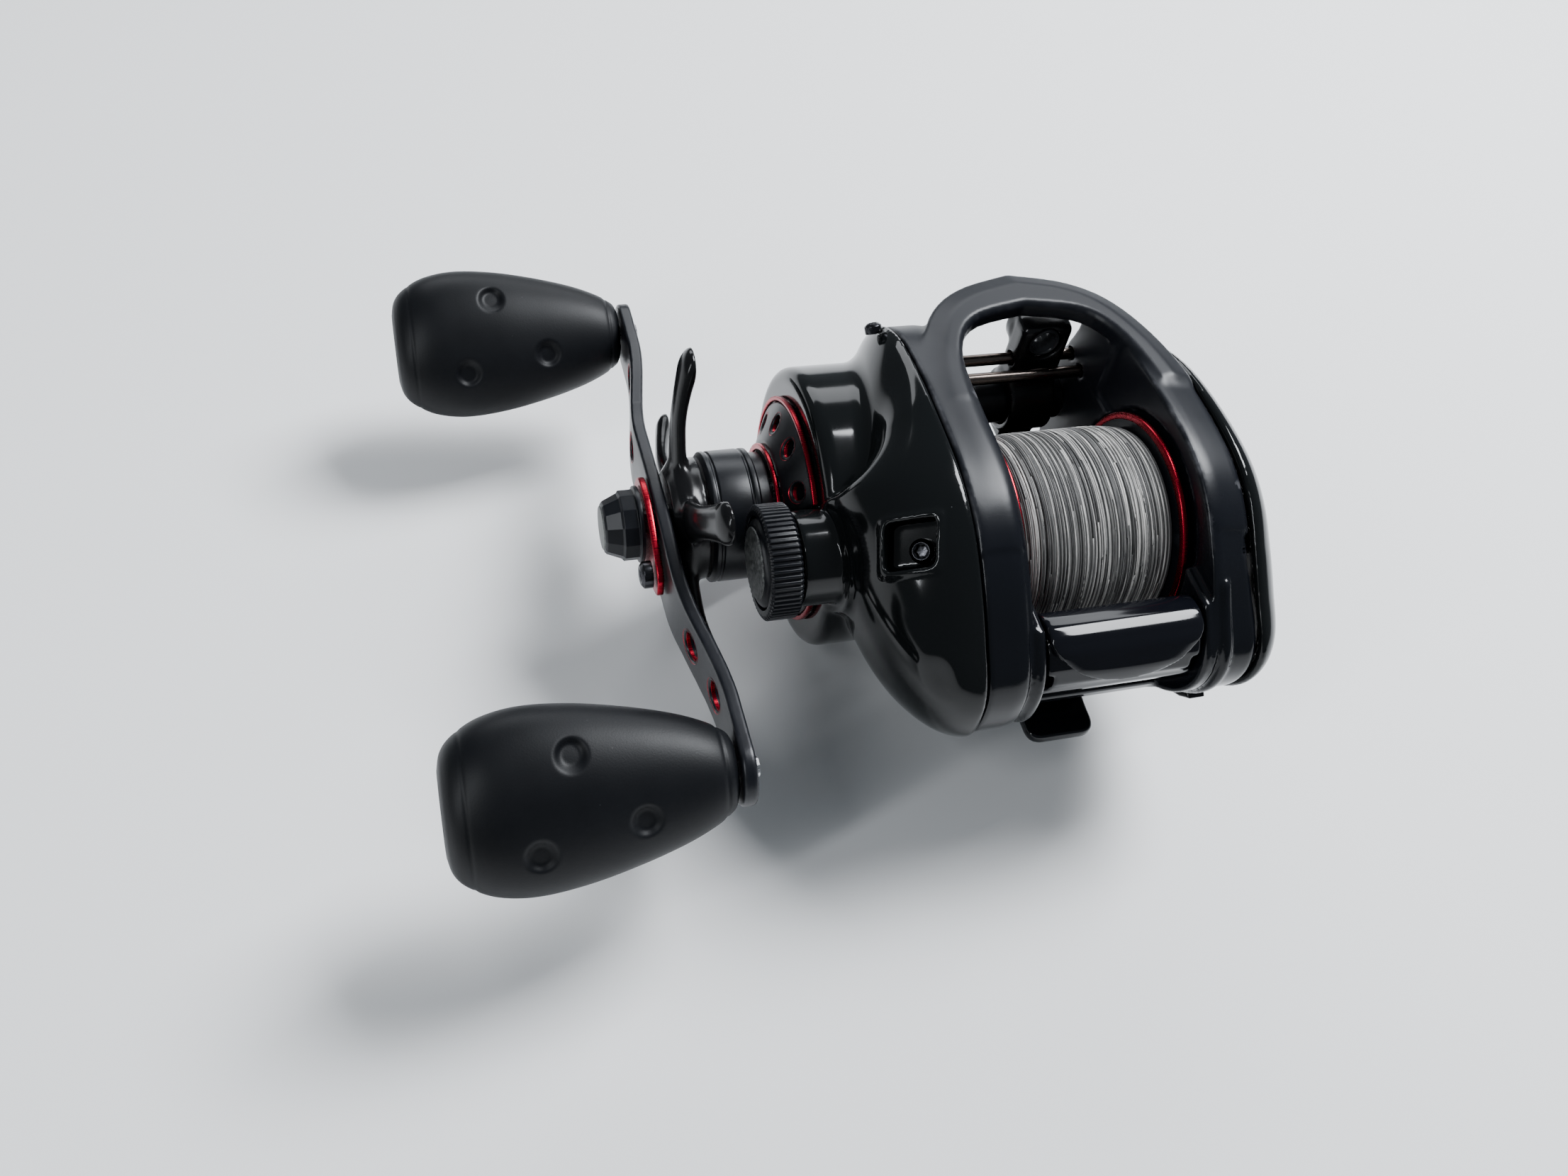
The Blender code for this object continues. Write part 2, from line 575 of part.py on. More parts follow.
def worm_drive():
    reach = math.hypot(WORM_Y - DRIVE_Y, WORM_Z - DRIVE_Z)
    module = 2.0 * reach / (WORM_GEAR_TEETH + WORM_DRIVE_TEETH)
    towards = math.atan2(WORM_Z - DRIVE_Z, WORM_Y - DRIVE_Y)
    plate("worm_drive_gear", gear_outline(DRIVE_AXIS, WORM_DRIVE_TEETH, module, towards),
          -18.2, -16.8, "brass", [circle(DRIVE_AXIS, DRIVE_SHAFT_R + GAP)], (0.0, *DRIVE_AXIS))
    first = towards + math.pi + math.pi / WORM_GEAR_TEETH
    plate("worm_gear", gear_outline(WORM_AXIS, WORM_GEAR_TEETH, module, first),
          -18.2, -16.8, "brass", [circle(WORM_AXIS, 1.3 + GAP)], (0.0, *WORM_AXIS))
    turned("worm_shaft", [
        (-18.6, 0.0), (-18.6, 1.3), (-11.8, 1.3), (-11.8, 2.7), (11.8, 2.7), (11.8, 1.3),
        (14.2, 1.3), (14.2, 0.0),
    ], "steel", WORM_AXIS, 24)
    guard = tube("worm_guard", -12.1, 12.1, 3.1, 3.8, "satin_black", WORM_AXIS, 32,
                 (0.0, *WORM_AXIS))
    slot = box("guard_slot", (-11.0, WORM_Y - 1.7, WORM_Z - 5.0), (11.0, WORM_Y + 1.7, WORM_Z), "steel")
    cut(guard, slot)


def line_guide():
    """The carriage that lays the line: a ring on the worm guard with an upright eye block."""
    half = 4.3
    x = LINE_GUIDE_X
    body = rod("line_guide", x - half + 0.4, x + half - 0.4, 5.3, "gloss_black", WORM_AXIS, 24,
               (x, *GUIDE_ROD))
    upright = box("guide_upright", (x - half, 27.6, -1.0), (x + half, 32.4, 14.6), "gloss_black", bevel=0.8)
    stem = box("guide_stem", (x - 2.9, WORM_Y - 2.9, -9.4), (x + 2.9, WORM_Y + 2.9, -3.0), "gloss_black")
    bezel = aimed(rod("guide_bezel", -1.0, 1.4, 4.5, "gloss_black"), FORWARD, (x, 32.6, GUIDE_EYE_Z))
    join(body, upright, stem, bezel)
    cut(body,
        rod("guard_bore", x - 6.0, x + 6.0, 4.15, "gloss_black", WORM_AXIS, 24),
        rod("guide_bore", x - 6.0, x + 6.0, ROD_R + GAP, "gloss_black", GUIDE_ROD, 12),
        aimed(rod("eye_bore", -4.0, 6.0, 2.9, "gloss_black", steps=20), FORWARD, (x, 30.0, GUIDE_EYE_Z)),
        aimed(rod("pawl_bore", -3.6, 3.6, 2.1, "gloss_black", steps=16), UPWARD, (x, WORM_Y, -8.2)))
    ring = turned("guide_insert", [
        (-2.2, 2.0), (-2.5, 2.3), (-2.2, 2.6), (2.9, 2.6), (3.4, 2.3), (2.9, 2.0), (0.0, 1.8),
    ], "ceramic", SPOOL_AXIS, 20)
    aimed(ring, FORWARD, (x, 30.4, GUIDE_EYE_Z))
    aimed(rod("guide_pawl", -1.0, 1.0, 1.2, "steel", steps=16), UPWARD, (x, WORM_Y, -6.1))
    aimed(rod("pawl_cap", -1.0, 1.0, 1.8, "satin_black", steps=16), UPWARD, (x, WORM_Y, -8.4))


# ---------------------------------------------------------------- clutch
def clutch():
    yoke = plate("clutch_yoke", [
        (-5.0, -10.4), (1.4, -10.4), (1.4, -6.0), (4.6, -6.0), (4.6, 6.0), (1.4, 6.0), (1.4, 10.4),
        (-5.0, 10.4),
    ], -20.0, -19.2, "steel", [circle((-1.0, 8.5), 1.1, 12), circle((-1.0, -8.5), 1.1, 12)])
    cut(yoke, box("yoke_slot", (-21.0, -2.5, -2.5), (-18.0, 6.0, 2.5), "steel"))
    section = [
        (-19.2, 6.4), (-21.0, 7.2), (-23.6, 6.2), (-26.2, 3.4), (-27.8, 0.0), (-27.2, -3.0),
        (-25.0, -6.0), (-20.4, -6.0), (-19.2, -1.5), (-18.9, 3.0),
    ]
    plate("thumb_bar", section, -11.6, 11.6, "gloss_black", (), (0.0, -23.0, 0.0))
    cam = plate("clutch_cam", [
        (-23.2, -4.6), (-20.8, -6.0), (-9.0, -6.0), (-9.0, -2.4), (-20.0, -0.8), (-23.6, -0.8)],
        -18.4, -17.4, "steel", (), (0.0, -23.0, 0.0))
    join(cam, box("cam_tab", (-17.8, -23.8, -4.2), (-11.9, -21.9, -1.2), "steel"))


# ---------------------------------------------------------------- outer controls
def star_drag():
    """Five curved paddles around a hub, bent towards the body at their tips."""
    hub = turned("star_drag", [
        (-55.4, 0.0), (-55.4, 7.6), (-54.2, 8.8), (-52.4, 9.4), (-50.3, 9.4), (-50.3, 0.0),
    ], "gloss_black", DRIVE_AXIS, 32)
    for index in range(STAR_ARMS):
        angle = STAR_FIRST + math.tau * index / STAR_ARMS
        out = Vector((0.0, math.cos(angle), math.sin(angle)))
        side = Vector((0.0, -math.sin(angle), math.cos(angle)))
        sections = []
        for reach, x, deep, wide in (
            (5.0, -53.0, 1.3, 3.6), (9.5, -53.2, 1.25, 3.3), (14.0, -53.0, 1.1, 2.6),
            (19.0, -52.2, 1.15, 2.5), (23.5, -51.0, 1.6, 3.0), (25.6, -50.6, 1.5, 2.6),
            (STAR_R, -50.4, 0.9, 1.5),
        ):
            centre = Vector((x, DRIVE_Y, DRIVE_Z)) + out * reach
            sections.append([
                centre + side * (wide * math.cos(t)) + Vector((deep * math.sin(t), 0.0, 0.0))
                for t in [math.tau * step / 6.0 for step in range(6)]
            ])
        join(hub, lofted("star_arm_%d" % index, sections, "gloss_black"))
    cut(hub, rod("star_bore", -57.0, -49.0, DRIVE_SHAFT_R + GAP, "gloss_black", DRIVE_AXIS))


def cast_control():
    """Tension cap on the spool axis: a closed cap inside a knurled grip."""
    turned("cast_control_cap", [
        (-46.2, 0.0), (-46.2, 5.8), (-45.6, 6.5), (-41.2, 6.5), (-41.2, 2.6), (-44.0, 2.6), (-44.0, 0.0),
    ], "satin_black", SPOOL_AXIS, 32)
    outer = []
    notches = 32
    for step in range(notches * 2):
        angle = math.tau * step / (notches * 2)
        radius = 8.36 if step % 2 == 0 else 8.0
        outer.append((radius * math.cos(angle), radius * math.sin(angle)))
    plate("cast_control_grip", outer, -45.8, -41.2, "satin_black", [circle(SPOOL_AXIS, 6.8, 32)])


def arm_x(reach):
    """Outer face of the arm: straight over the hub, then eased in to the knobs."""
    t = min(max((abs(reach) - 14.0) / 24.0, 0.0), 1.0)
    ease = t * t * (3.0 - 2.0 * t)
    return ARM_HUB_X + (ARM_END_X - ARM_HUB_X) * ease


def handle_point(reach, rise):
    y = DRIVE_Y + reach * math.cos(HANDLE_TILT) - rise * math.sin(HANDLE_TILT)
    z = DRIVE_Z + reach * math.sin(HANDLE_TILT) + rise * math.cos(HANDLE_TILT)
    return y, z


def handle_arm():
    """Double handle arm: a flat blade, widest at the hub, with round ends."""
    end = HANDLE_HALF
    sections = []
    stations = [-1.0, -0.985, -0.93, -0.82, -0.66, -0.48, -0.3, -0.12, 0.12, 0.3, 0.48, 0.66, 0.82, 0.93,
                0.985, 1.0]
    tip = 5.0
    for part in stations:
        reach = part * (end + tip)
        past = max(abs(reach) - end, 0.0)
        half = 5.0 * math.sqrt(max(1.0 - (past / tip) ** 2, 0.02))
        swell = max(0.0, 1.0 - (reach / 22.0) ** 2)
        half = half + 1.4 * swell
        x = arm_x(reach)
        corners = []
        for depth, rise in ((0.0, half), (0.0, -half), (ARM_THICK, -half), (ARM_THICK, half)):
            y, z = handle_point(reach, rise)
            corners.append((x + depth, y, z))
        sections.append(corners)
    arm = lofted("handle_arm", sections, "satin_black", (0.0, *DRIVE_AXIS))
    cut(arm, rod("arm_bore", -60.0, -54.0, 2.6, "satin_black", DRIVE_AXIS))
    for index, reach in enumerate((-33.6, -24.6, 17.0, 33.6)):
        hole = rod("arm_hole_%d" % index, -60.0, -50.0, 2.2, "satin_black", handle_point(reach, 0.0), 12)
        cut(arm, hole)
    for index, side in enumerate((-1.0, 1.0)):
        cut(arm, rod("spindle_hole_%d" % index, -58.0, -50.0, 1.75, "satin_black",
                     handle_point(side * end, 0.0), 12))


def handle_fittings():
    """The red keeper plate, the nut, its retaining screw and the two knob spindles."""
    keeper = []
    for reach, rise in ((7.0, 0.0), (4.6, 5.4), (0.0, 6.6), (-6.0, 5.2), (-12.4, 2.4), (-13.4, 0.0),
                        (-12.4, -2.4), (-6.0, -5.2), (0.0, -6.6), (4.6, -5.4)):
        keeper.append(handle_point(reach, rise))
    plate("handle_keeper", smooth_loop(keeper, 3), -59.2, -58.2, "red_metal",
          [circle(DRIVE_AXIS, 2.6)], (0.0, *DRIVE_AXIS))
    nut = turned("handle_nut", [
        (-65.2, 0.0), (-65.2, 3.9), (-62.6, 5.0), (-62.4, 5.4), (-59.5, 5.4), (-59.5, 0.0),
    ], "gloss_black", DRIVE_AXIS, 12)
    cut(nut, rod("nut_bore", -62.9, -58.0, 2.6, "gloss_black", DRIVE_AXIS))
    spot = handle_point(-10.3, 0.0)
    turned("nut_lock_screw", [
        (-61.0, 0.0), (-61.0, 1.3), (-60.6, 1.7), (-59.5, 1.7), (-59.5, 0.0)], "gloss_black", spot, 16,
        (0.0, *DRIVE_AXIS))
    for name, side in (("front", 1.0), ("rear", -1.0)):
        turned("knob_spindle_" + name, [
            (-86.0, 0.0), (-86.0, 1.4), (-55.3, 1.4), (-54.5, 1.4), (-51.9, 1.4), (-51.9, 0.0),
        ], "steel", handle_point(side * HANDLE_HALF, 0.0), 16, (0.0, *DRIVE_AXIS))


def knob(name, side):
    """A flattened pear-shaped paddle with three thumb dimples on each broad face."""
    centre = handle_point(side * HANDLE_HALF, 0.0)
    pivot = (0.0, *centre)
    long_way = Vector((0.0, math.cos(KNOB_WIDE_ANGLE), math.sin(KNOB_WIDE_ANGLE)))
    short_way = Vector((0.0, -math.sin(KNOB_WIDE_ANGLE), math.cos(KNOB_WIDE_ANGLE)))
    profile = (
        (KNOB_NECK_X, 4.0, 4.0), (-56.2, 5.4, 5.0), (-58.4, 6.9, 5.8), (-62.5, 8.6, 6.5),
        (-68.5, 10.3, 7.2), (-75.5, 11.7, KNOB_THIN), (-82.0, KNOB_WIDE, KNOB_THIN),
        (-87.0, 11.4, 7.4), (-90.4, 9.6, 6.2), (-92.0, 7.8, 4.8), (KNOB_TIP_X, 5.6, 3.4),
    )
    sections = []
    for x, wide, thin in profile:
        loop = []
        for step in range(18):
            t = math.tau * step / 18.0
            point = Vector((x, *centre)) + long_way * (wide * math.cos(t)) + short_way * (thin * math.sin(t))
            loop.append(point)
        sections.append(loop)
    body = lofted(name, sections, "knob_black", pivot)
    cut(body, rod(name + "_bore", -86.8, -54.0, 1.4 + GAP, "knob_black", centre, 16))
    return body


def palm_controls():
    """The brake dial, the magnets it moves, and the lever that frees the palm-side cover."""
    turned("brake_dial", [
        (28.7, 0.0), (28.7, 8.6), (29.8, 8.6), (30.6, 7.6), (30.6, 0.0)], "satin_black", SPOOL_AXIS, 32)
    tube("brake_magnets", 15.6, 19.6, 12.2, 14.6, "magnet", SPOOL_AXIS, 32)
    lever = [(-12.6, -20.0), (-17.8, -17.4), (-22.0, -14.2), (-24.0, -12.2), (-25.0, -12.8),
             (-23.2, -14.9), (-18.4, -18.6), (-13.4, -21.2), (-11.6, -21.2), (-11.2, -20.5)]
    plate("palm_release_lever", lever, 16.8, 19.8, "gloss_black", (), (0.0, -12.6, -20.8))


def build():
    clear_scene()
    frame()
    fixed_rods()
    gear_cover()
    palm_cover()
    drag_cover()
    cover_screws()
    spool()
    pinion()
    main_gear()
    drive_stack()
    worm_drive()
    line_guide()
    clutch()
    star_drag()
    cast_control()
    handle_arm()
    handle_fittings()
    knob("knob_front", 1.0)
    knob("knob_rear", -1.0)
    palm_controls()


build()
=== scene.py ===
from math import atan2, cos, hypot, radians, sin, tau as TAU

import bmesh
import bpy
import numpy as np
from mathutils import Matrix, Vector


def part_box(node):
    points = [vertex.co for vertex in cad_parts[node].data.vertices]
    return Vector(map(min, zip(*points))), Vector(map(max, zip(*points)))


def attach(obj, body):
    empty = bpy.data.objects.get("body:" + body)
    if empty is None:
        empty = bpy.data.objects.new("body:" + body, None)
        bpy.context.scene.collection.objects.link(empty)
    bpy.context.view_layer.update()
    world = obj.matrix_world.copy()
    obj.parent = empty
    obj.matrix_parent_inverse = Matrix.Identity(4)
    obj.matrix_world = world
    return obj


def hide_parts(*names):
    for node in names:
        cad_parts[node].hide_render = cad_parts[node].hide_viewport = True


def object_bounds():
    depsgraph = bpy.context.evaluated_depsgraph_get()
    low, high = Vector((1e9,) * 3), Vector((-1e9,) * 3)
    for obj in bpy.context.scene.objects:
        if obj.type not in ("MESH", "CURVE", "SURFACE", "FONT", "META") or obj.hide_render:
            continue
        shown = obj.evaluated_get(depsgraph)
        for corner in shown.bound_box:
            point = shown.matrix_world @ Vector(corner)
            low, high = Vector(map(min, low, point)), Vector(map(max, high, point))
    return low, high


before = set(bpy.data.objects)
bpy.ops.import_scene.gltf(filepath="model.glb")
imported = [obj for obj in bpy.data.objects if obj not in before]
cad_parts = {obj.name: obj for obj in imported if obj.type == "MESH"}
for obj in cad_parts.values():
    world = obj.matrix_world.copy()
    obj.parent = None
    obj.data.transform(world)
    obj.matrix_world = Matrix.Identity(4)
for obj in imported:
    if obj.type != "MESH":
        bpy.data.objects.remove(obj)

# The looks of a low-profile baitcasting reel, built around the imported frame.
# Shapes are written in millimetres around the spool axis and placed from the frame's nodes.
# +X runs along the spool axis towards the palm side, +Y is forward and +Z is up.

CAD_LOW, CAD_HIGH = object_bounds()
MM = 0.001


def middle(node):
    low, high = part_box(node)
    return (low + high) / 2


ORIGIN = middle("spool")


def local(point):
    """A point of the row frame, in millimetres around the spool's centre."""
    return np.array((Vector(point) - ORIGIN) / MM)


DRIVE = local(middle("main_gear"))
WORM = local(middle("worm_shaft"))
GUIDE_ROD = local(middle("guide_rod"))
STAY_ROD = local(middle("stay_rod"))
GUIDE_EYE = local(middle("guide_insert"))
FRONT_KNOB = local(middle("knob_spindle_front"))
REAR_KNOB = local(middle("knob_spindle_rear"))
FOOT_UNDER = local(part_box("frame")[0])[2]
RIM = local(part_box("spool")[1])[2]
LINE_R = local(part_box("line_pack")[1])[2]
DRIVE_AXIS = (DRIVE[1], DRIVE[2])
WORM_AXIS = (WORM[1], WORM[2])
SPOOL_AXIS = (0, 0)
HANDLE_HALF = hypot(FRONT_KNOB[1] - DRIVE[1], FRONT_KNOB[2] - DRIVE[2])
HANDLE_TILT = atan2(FRONT_KNOB[2] - REAR_KNOB[2], FRONT_KNOB[1] - REAR_KNOB[1])


# ---- placing pieces
def added(name, data):
    """A new object in the scene."""
    obj = bpy.data.objects.new(name, data)
    bpy.context.scene.collection.objects.link(obj)
    return obj


def place(name, verts, faces, looks, pivot=(0, 0, 0), sharp=None):
    """Make a piece from millimetre points.  Looks are its material, body, slot and the nodes it replaces; the
    slot is not used.
    """
    material, body, slot, *replaces = looks
    points = (np.asarray(verts, float) - pivot) * MM
    mesh = bpy.data.meshes.new(name)
    mesh.from_pydata(points.tolist(), [], [list(map(int, face)) for face in faces])
    mesh.validate()
    fixed = bmesh.new()
    fixed.from_mesh(mesh)
    bmesh.ops.recalc_face_normals(fixed, faces=fixed.faces)
    if fixed.calc_volume(signed=True) < 0:
        bmesh.ops.reverse_faces(fixed, faces=fixed.faces)
    fixed.to_mesh(mesh)
    fixed.free()
    mesh.shade_smooth()
    if sharp is not None:
        mesh.set_sharp_from_angle(angle=radians(sharp))
    mesh.materials.append(material)
    obj = added(name, mesh)
    obj.location = ORIGIN + Vector(pivot) * MM
    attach(obj, body)
    if replaces:
        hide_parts(*replaces)
    return obj


def rounded(profile, radius):
    """A closed (x, radius) profile with each corner off the axis replaced by a small bend."""
    bend_steps = 3
    result = []
    for index, point in enumerate(profile):
        here = np.array(point, float)
        if abs(here[1]) < 1e-6:
            result.append(tuple(here))
            continue
        back = np.array(profile[index - 1], float) - here
        ahead = np.array(profile[(index + 1) % len(profile)], float) - here
        reach = min(radius, 0.45 * np.linalg.norm(back), 0.45 * np.linalg.norm(ahead))
        start = here + back / (np.linalg.norm(back) + 1e-9) * reach
        end = here + ahead / (np.linalg.norm(ahead) + 1e-9) * reach
        for step in range(bend_steps + 1):
            t = step / bend_steps
            result.append(tuple((1 - t) ** 2 * start + 2 * t * (1 - t) * here + t ** 2 * end))
    return result


def loop_faces(base, rows, columns, closed=False):
    """Quads between rows of vertices that each close into a loop, counted from the base."""
    faces = []
    for row in range(rows if closed else rows - 1):
        first, second = base + row * columns, base + (row + 1) % rows * columns
        for step in range(columns):
            after = (step + 1) % columns
            faces.append((first + step, first + after, second + after, second + step))
    return faces


def turned_points(profile, axis, steps, ripple=None):
    """Rings of a closed (x, radius) profile about an axis along X."""
    verts = []
    rings = []
    for x, radius in profile:
        if radius < 1e-6:
            rings.append([len(verts)])
            verts.append((x, *axis))
            continue
        rings.append(list(range(len(verts), len(verts) + steps)))
        for step in range(steps):
            angle = TAU * step / steps
            reach = radius if ripple is None else ripple(x, radius, angle)
            verts.append((x, axis[0] + reach * cos(angle), axis[1] + reach * sin(angle)))
    faces = []
    for index, ring in enumerate(rings):
        other = rings[(index + 1) % len(rings)]
        if len(ring) == 1 and len(other) == 1:
            continue
        for step in range(steps):
            after = (step + 1) % steps
            face = [ring[step % len(ring)], other[step % len(other)]]
            if len(other) > 1:
                face.append(other[after])
            if len(ring) > 1:
                face.append(ring[after])
            faces.append(face)
    return verts, faces


def turned(name, profile, looks, steps=96, bend=0.25, ripple=None, sharp=None, axis=SPOOL_AXIS, aim=None,
           at=None):
    """A turned piece.  With aim and at, it is drawn about +X at the origin and then pointed."""
    shape = rounded(profile, bend) if bend > 0 else profile
    if aim is None:
        centre_x = (min(p[0] for p in profile) + max(p[0] for p in profile)) / 2
        verts, faces = turned_points(shape, axis, steps, ripple)
        return place(name, verts, faces, looks, (centre_x, *axis), sharp)
    verts, faces = turned_points(shape, SPOOL_AXIS, steps, ripple)
    turn = Vector((1, 0, 0)).rotation_difference(Vector(aim).normalized()).to_matrix()
    verts = np.array(verts) @ np.array(turn).T + at
    return place(name, verts, faces, looks, at, sharp)


# ---- curves through points
def curve_at(at, values):
    """A Catmull-Rom curve through values, read at fractional positions in the list."""
    values = np.asarray(values, float)
    last = len(values) - 1
    at = np.clip(at, 0, last - 1e-6)
    k = at.astype(int)
    before, start, end, after = (values[np.clip(k + shift, 0, last)] for shift in (-1, 0, 1, 2))
    t = at - k
    return 0.5 * (2 * start + (end - before) * t + (2 * before - 5 * start + 4 * end - after) * t ** 2
                  + (3 * start - before - 3 * end + after) * t ** 3)


# ---- distance fields
def meet(a, b, bend):
    """What two shapes share, with the edge between them rounded."""
    blend = np.maximum(bend - np.abs(a - b), 0) / bend
    return np.maximum(a, b) + blend * blend * bend * 0.25


def join(a, b, bend):
    """Two shapes as one, with a fillet between them."""
    return -meet(-a, -b, bend)


def cut(shape, *tools):
    """A shape with sharp-edged cuts."""
    for tool in tools:
        shape = np.maximum(shape, -tool)
    return shape


def slab(v, low, high):
    return np.abs(v - (low + high) / 2) - (high - low) / 2


def ease(v, low, high):
    t = np.clip((v - low) / (high - low), 0, 1)
    return t * t * (3 - 2 * t)


def disc(y, z, axis, radius):
    return np.hypot(y - axis[0], z - axis[1]) - radius


def bore(x, y, z, axis, radius, low, high):
    return np.maximum(disc(y, z, axis, radius), slab(x, low, high))


def block(x, y, z, low, high, bend=0.8, end_bend=None):
    sides = meet(slab(x, low[0], high[0]), slab(y, low[1], high[1]), bend)
    return meet(sides, slab(z, low[2], high[2]), bend if end_bend is None else end_bend)


def ball(x, y, z, centre, radii):
    """Roughly the distance to an ellipsoid."""
    reach = sum(((v - middle_v) / radius) ** 2 for v, middle_v, radius in zip((x, y, z), centre, radii))
    return (np.sqrt(reach) - 1) * min(radii)


def polygon(points, a, b):
    """Signed distance to a polygon in a plane, below zero inside."""
    nearest = np.inf
    inside = False
    for index, start in enumerate(points):
        end = points[(index + 1) % len(points)]
        ea, eb = end[0] - start[0], end[1] - start[1]
        wa, wb = a - start[0], b - start[1]
        t = np.clip((wa * ea + wb * eb) / (ea * ea + eb * eb), 0, 1)
        nearest = np.minimum(nearest, (wa - ea * t) ** 2 + (wb - eb * t) ** 2)
        if abs(eb) > 1e-9:
            inside = inside ^ (((start[1] <= b) != (end[1] <= b)) & (a < start[0] + wb * ea / eb))
    return np.where(inside, -1, 1) * np.sqrt(nearest)


class Outline:
    """A smooth closed outline in the YZ plane, as a radius around its crown."""

    def __init__(self, points, crown):
        self.crown = crown
        spans = 48
        looped = np.array(points[-1:] + points + points[:2], float)
        share = np.arange(len(points) * spans) / spans + 1
        curve = np.stack([curve_at(share, looped[:, i]) for i in (0, 1)], 1) - np.array(crown)
        angle = np.arctan2(curve[:, 1], curve[:, 0])
        order = np.argsort(angle)
        self.angle = angle[order]
        self.radius = np.hypot(*curve[order].T)

    def polar(self, y, z):
        dy, dz = y - self.crown[0], z - self.crown[1]
        radius = np.interp(np.arctan2(dz, dy), self.angle, self.radius, period=TAU)
        return np.hypot(dy, dz), radius

    def distance(self, y, z, scale=1):
        reach, radius = self.polar(y, z)
        return (reach - radius * scale) * 0.93


def surface(name, field, low, high, cell, looks, pivot=(0, 0, 0)):
    """The zero surface of a distance field as an even quad mesh, pulled exactly onto the field."""
    low = np.array(low, float) - 2 * cell
    high = np.array(high, float) + 2 * cell
    counts = np.ceil((high - low) / cell).astype(int) + 1
    x, y, z = (low[i] + cell * np.arange(counts[i]) for i in range(3))
    grid = np.broadcast_to(field(x[:, None, None], y[None, :, None], z[None, None, :]), counts)
    solid = grid < 0
    corner = np.array([(i, j, k) for i in (0, 1) for j in (0, 1) for k in (0, 1)])
    filled = np.zeros(counts - 1, int)
    for i, j, k in corner:
        filled += solid[i:counts[0] - 1 + i, j:counts[1] - 1 + j, k:counts[2] - 1 + k]
    cells = np.argwhere((filled > 0) & (filled < 8))
    number = np.full(counts - 1, -1)
    number[tuple(cells.T)] = np.arange(len(cells))
    total = np.zeros((len(cells), 3))
    hits = np.zeros(len(cells))
    for a in range(8):
        for b in range(a + 1, 8):
            if np.abs(corner[a] - corner[b]).sum() != 1:
                continue
            fa = grid[tuple((cells + corner[a]).T)]
            fb = grid[tuple((cells + corner[b]).T)]
            crossed = (fa < 0) != (fb < 0)
            t = np.where(crossed, fa / np.where(crossed, fa - fb, 1), 0)
            total += crossed[:, None] * (corner[a] + t[:, None] * (corner[b] - corner[a]))
            hits += crossed
    verts = low + (cells + total / hits[:, None]) * cell
    quads = []
    for axis in range(3):
        u, v = (axis + 1) % 3, (axis + 2) % 3
        here = np.moveaxis(solid, (axis, u, v), (0, 1, 2))
        flips = np.argwhere(here[:-1, 1:-1, 1:-1] != here[1:, 1:-1, 1:-1])
        flips[:, 1:] += 1
        names = np.moveaxis(number, (axis, u, v), (0, 1, 2))
        a, b, c = flips.T
        quad = np.stack([names[a, b - 1, c - 1], names[a, b, c - 1], names[a, b, c], names[a, b - 1, c]], 1)
        inward = here[a, b, c]
        quad[~inward] = quad[~inward][:, ::-1]
        quads.append(quad)
    quads = np.concatenate(quads)
    verts = settle(verts, quads, field, cell)
    return place(name, verts, quads, looks, pivot)


def settle(verts, quads, field, cell):
    """Relax a mesh along its surface and pull each vertex onto the field's zero."""
    relaxed_passes = 3
    nudge = 0.02
    ends = np.concatenate([quads[:, [i, (i + 1) % 4]] for i in range(4)])
    ends = np.concatenate([ends, ends[:, ::-1]])
    home, other = ends.T
    count = len(verts)
    degree = np.bincount(home, minlength=count).astype(float)
    for passes in range(relaxed_passes + 1):
        if passes < relaxed_passes:
            summed = np.stack([np.bincount(home, verts[other, i], count) for i in range(3)], 1)
            verts = verts + 0.5 * (summed / degree[:, None] - verts)
        value = field(*verts.T)
        slope = np.zeros_like(verts)
        for i in range(3):
            shifted = verts.copy()
            shifted[:, i] += nudge
            slope[:, i] = (field(*shifted.T) - value) / nudge
        step = -(value / np.maximum((slope ** 2).sum(1), 0.05))[:, None] * slope
        size = np.linalg.norm(step, axis=1, keepdims=True)
        verts = verts + step * np.minimum(1, 0.6 * cell / np.maximum(size, 1e-9))
    return verts


# ---- materials
def fill(tree, node, inputs):
    """Set a node's sockets from numbers and colours, or link them to other nodes' outputs."""
    for key, value in inputs.items():
        if isinstance(value, bpy.types.NodeSocket):
            tree.links.new(value, node.inputs[key])
        else:
            node.inputs[key].default_value = value


def add(tree, kind, inputs=None, **settings):
    node = tree.nodes.new("ShaderNode" + kind)
    for key, value in settings.items():
        setattr(node, key, value)
    fill(tree, node, inputs or {})
    return node


def made(name, look, *settings):
    """A material whose surface sockets are what the look gives."""
    material = bpy.data.materials.new(name)
    material.use_nodes = True
    tree = material.node_tree
    fill(tree, tree.nodes["Principled BSDF"], look(tree, *settings))
    return material


def own_place(tree):
    """A point of the surface in the piece's own coordinates."""
    return add(tree, "TexCoord").outputs["Object"]


def grain(tree, scale, detail=3, stretch=(1, 1, 1), rough=0.55):
    mapped = add(tree, "Mapping", {"Vector": own_place(tree), "Scale": stretch}).outputs["Vector"]
    return add(tree, "TexNoise", {
        "Vector": mapped, "Scale": scale, "Detail": detail, "Roughness": rough}).outputs["Fac"]


def spread(tree, value, low, high, start=0.3, end=0.7):
    return add(tree, "MapRange", {
        "Value": value, "From Min": start, "From Max": end, "To Min": low, "To Max": high}).outputs["Result"]


def mixed(tree, factor, first, second):
    pair = {key: colour if isinstance(colour, bpy.types.NodeSocket) else (*colour, 1)
            for key, colour in ((6, first), (7, second))}
    return add(tree, "Mix", {"Factor": factor} | pair, data_type="RGBA").outputs[2]


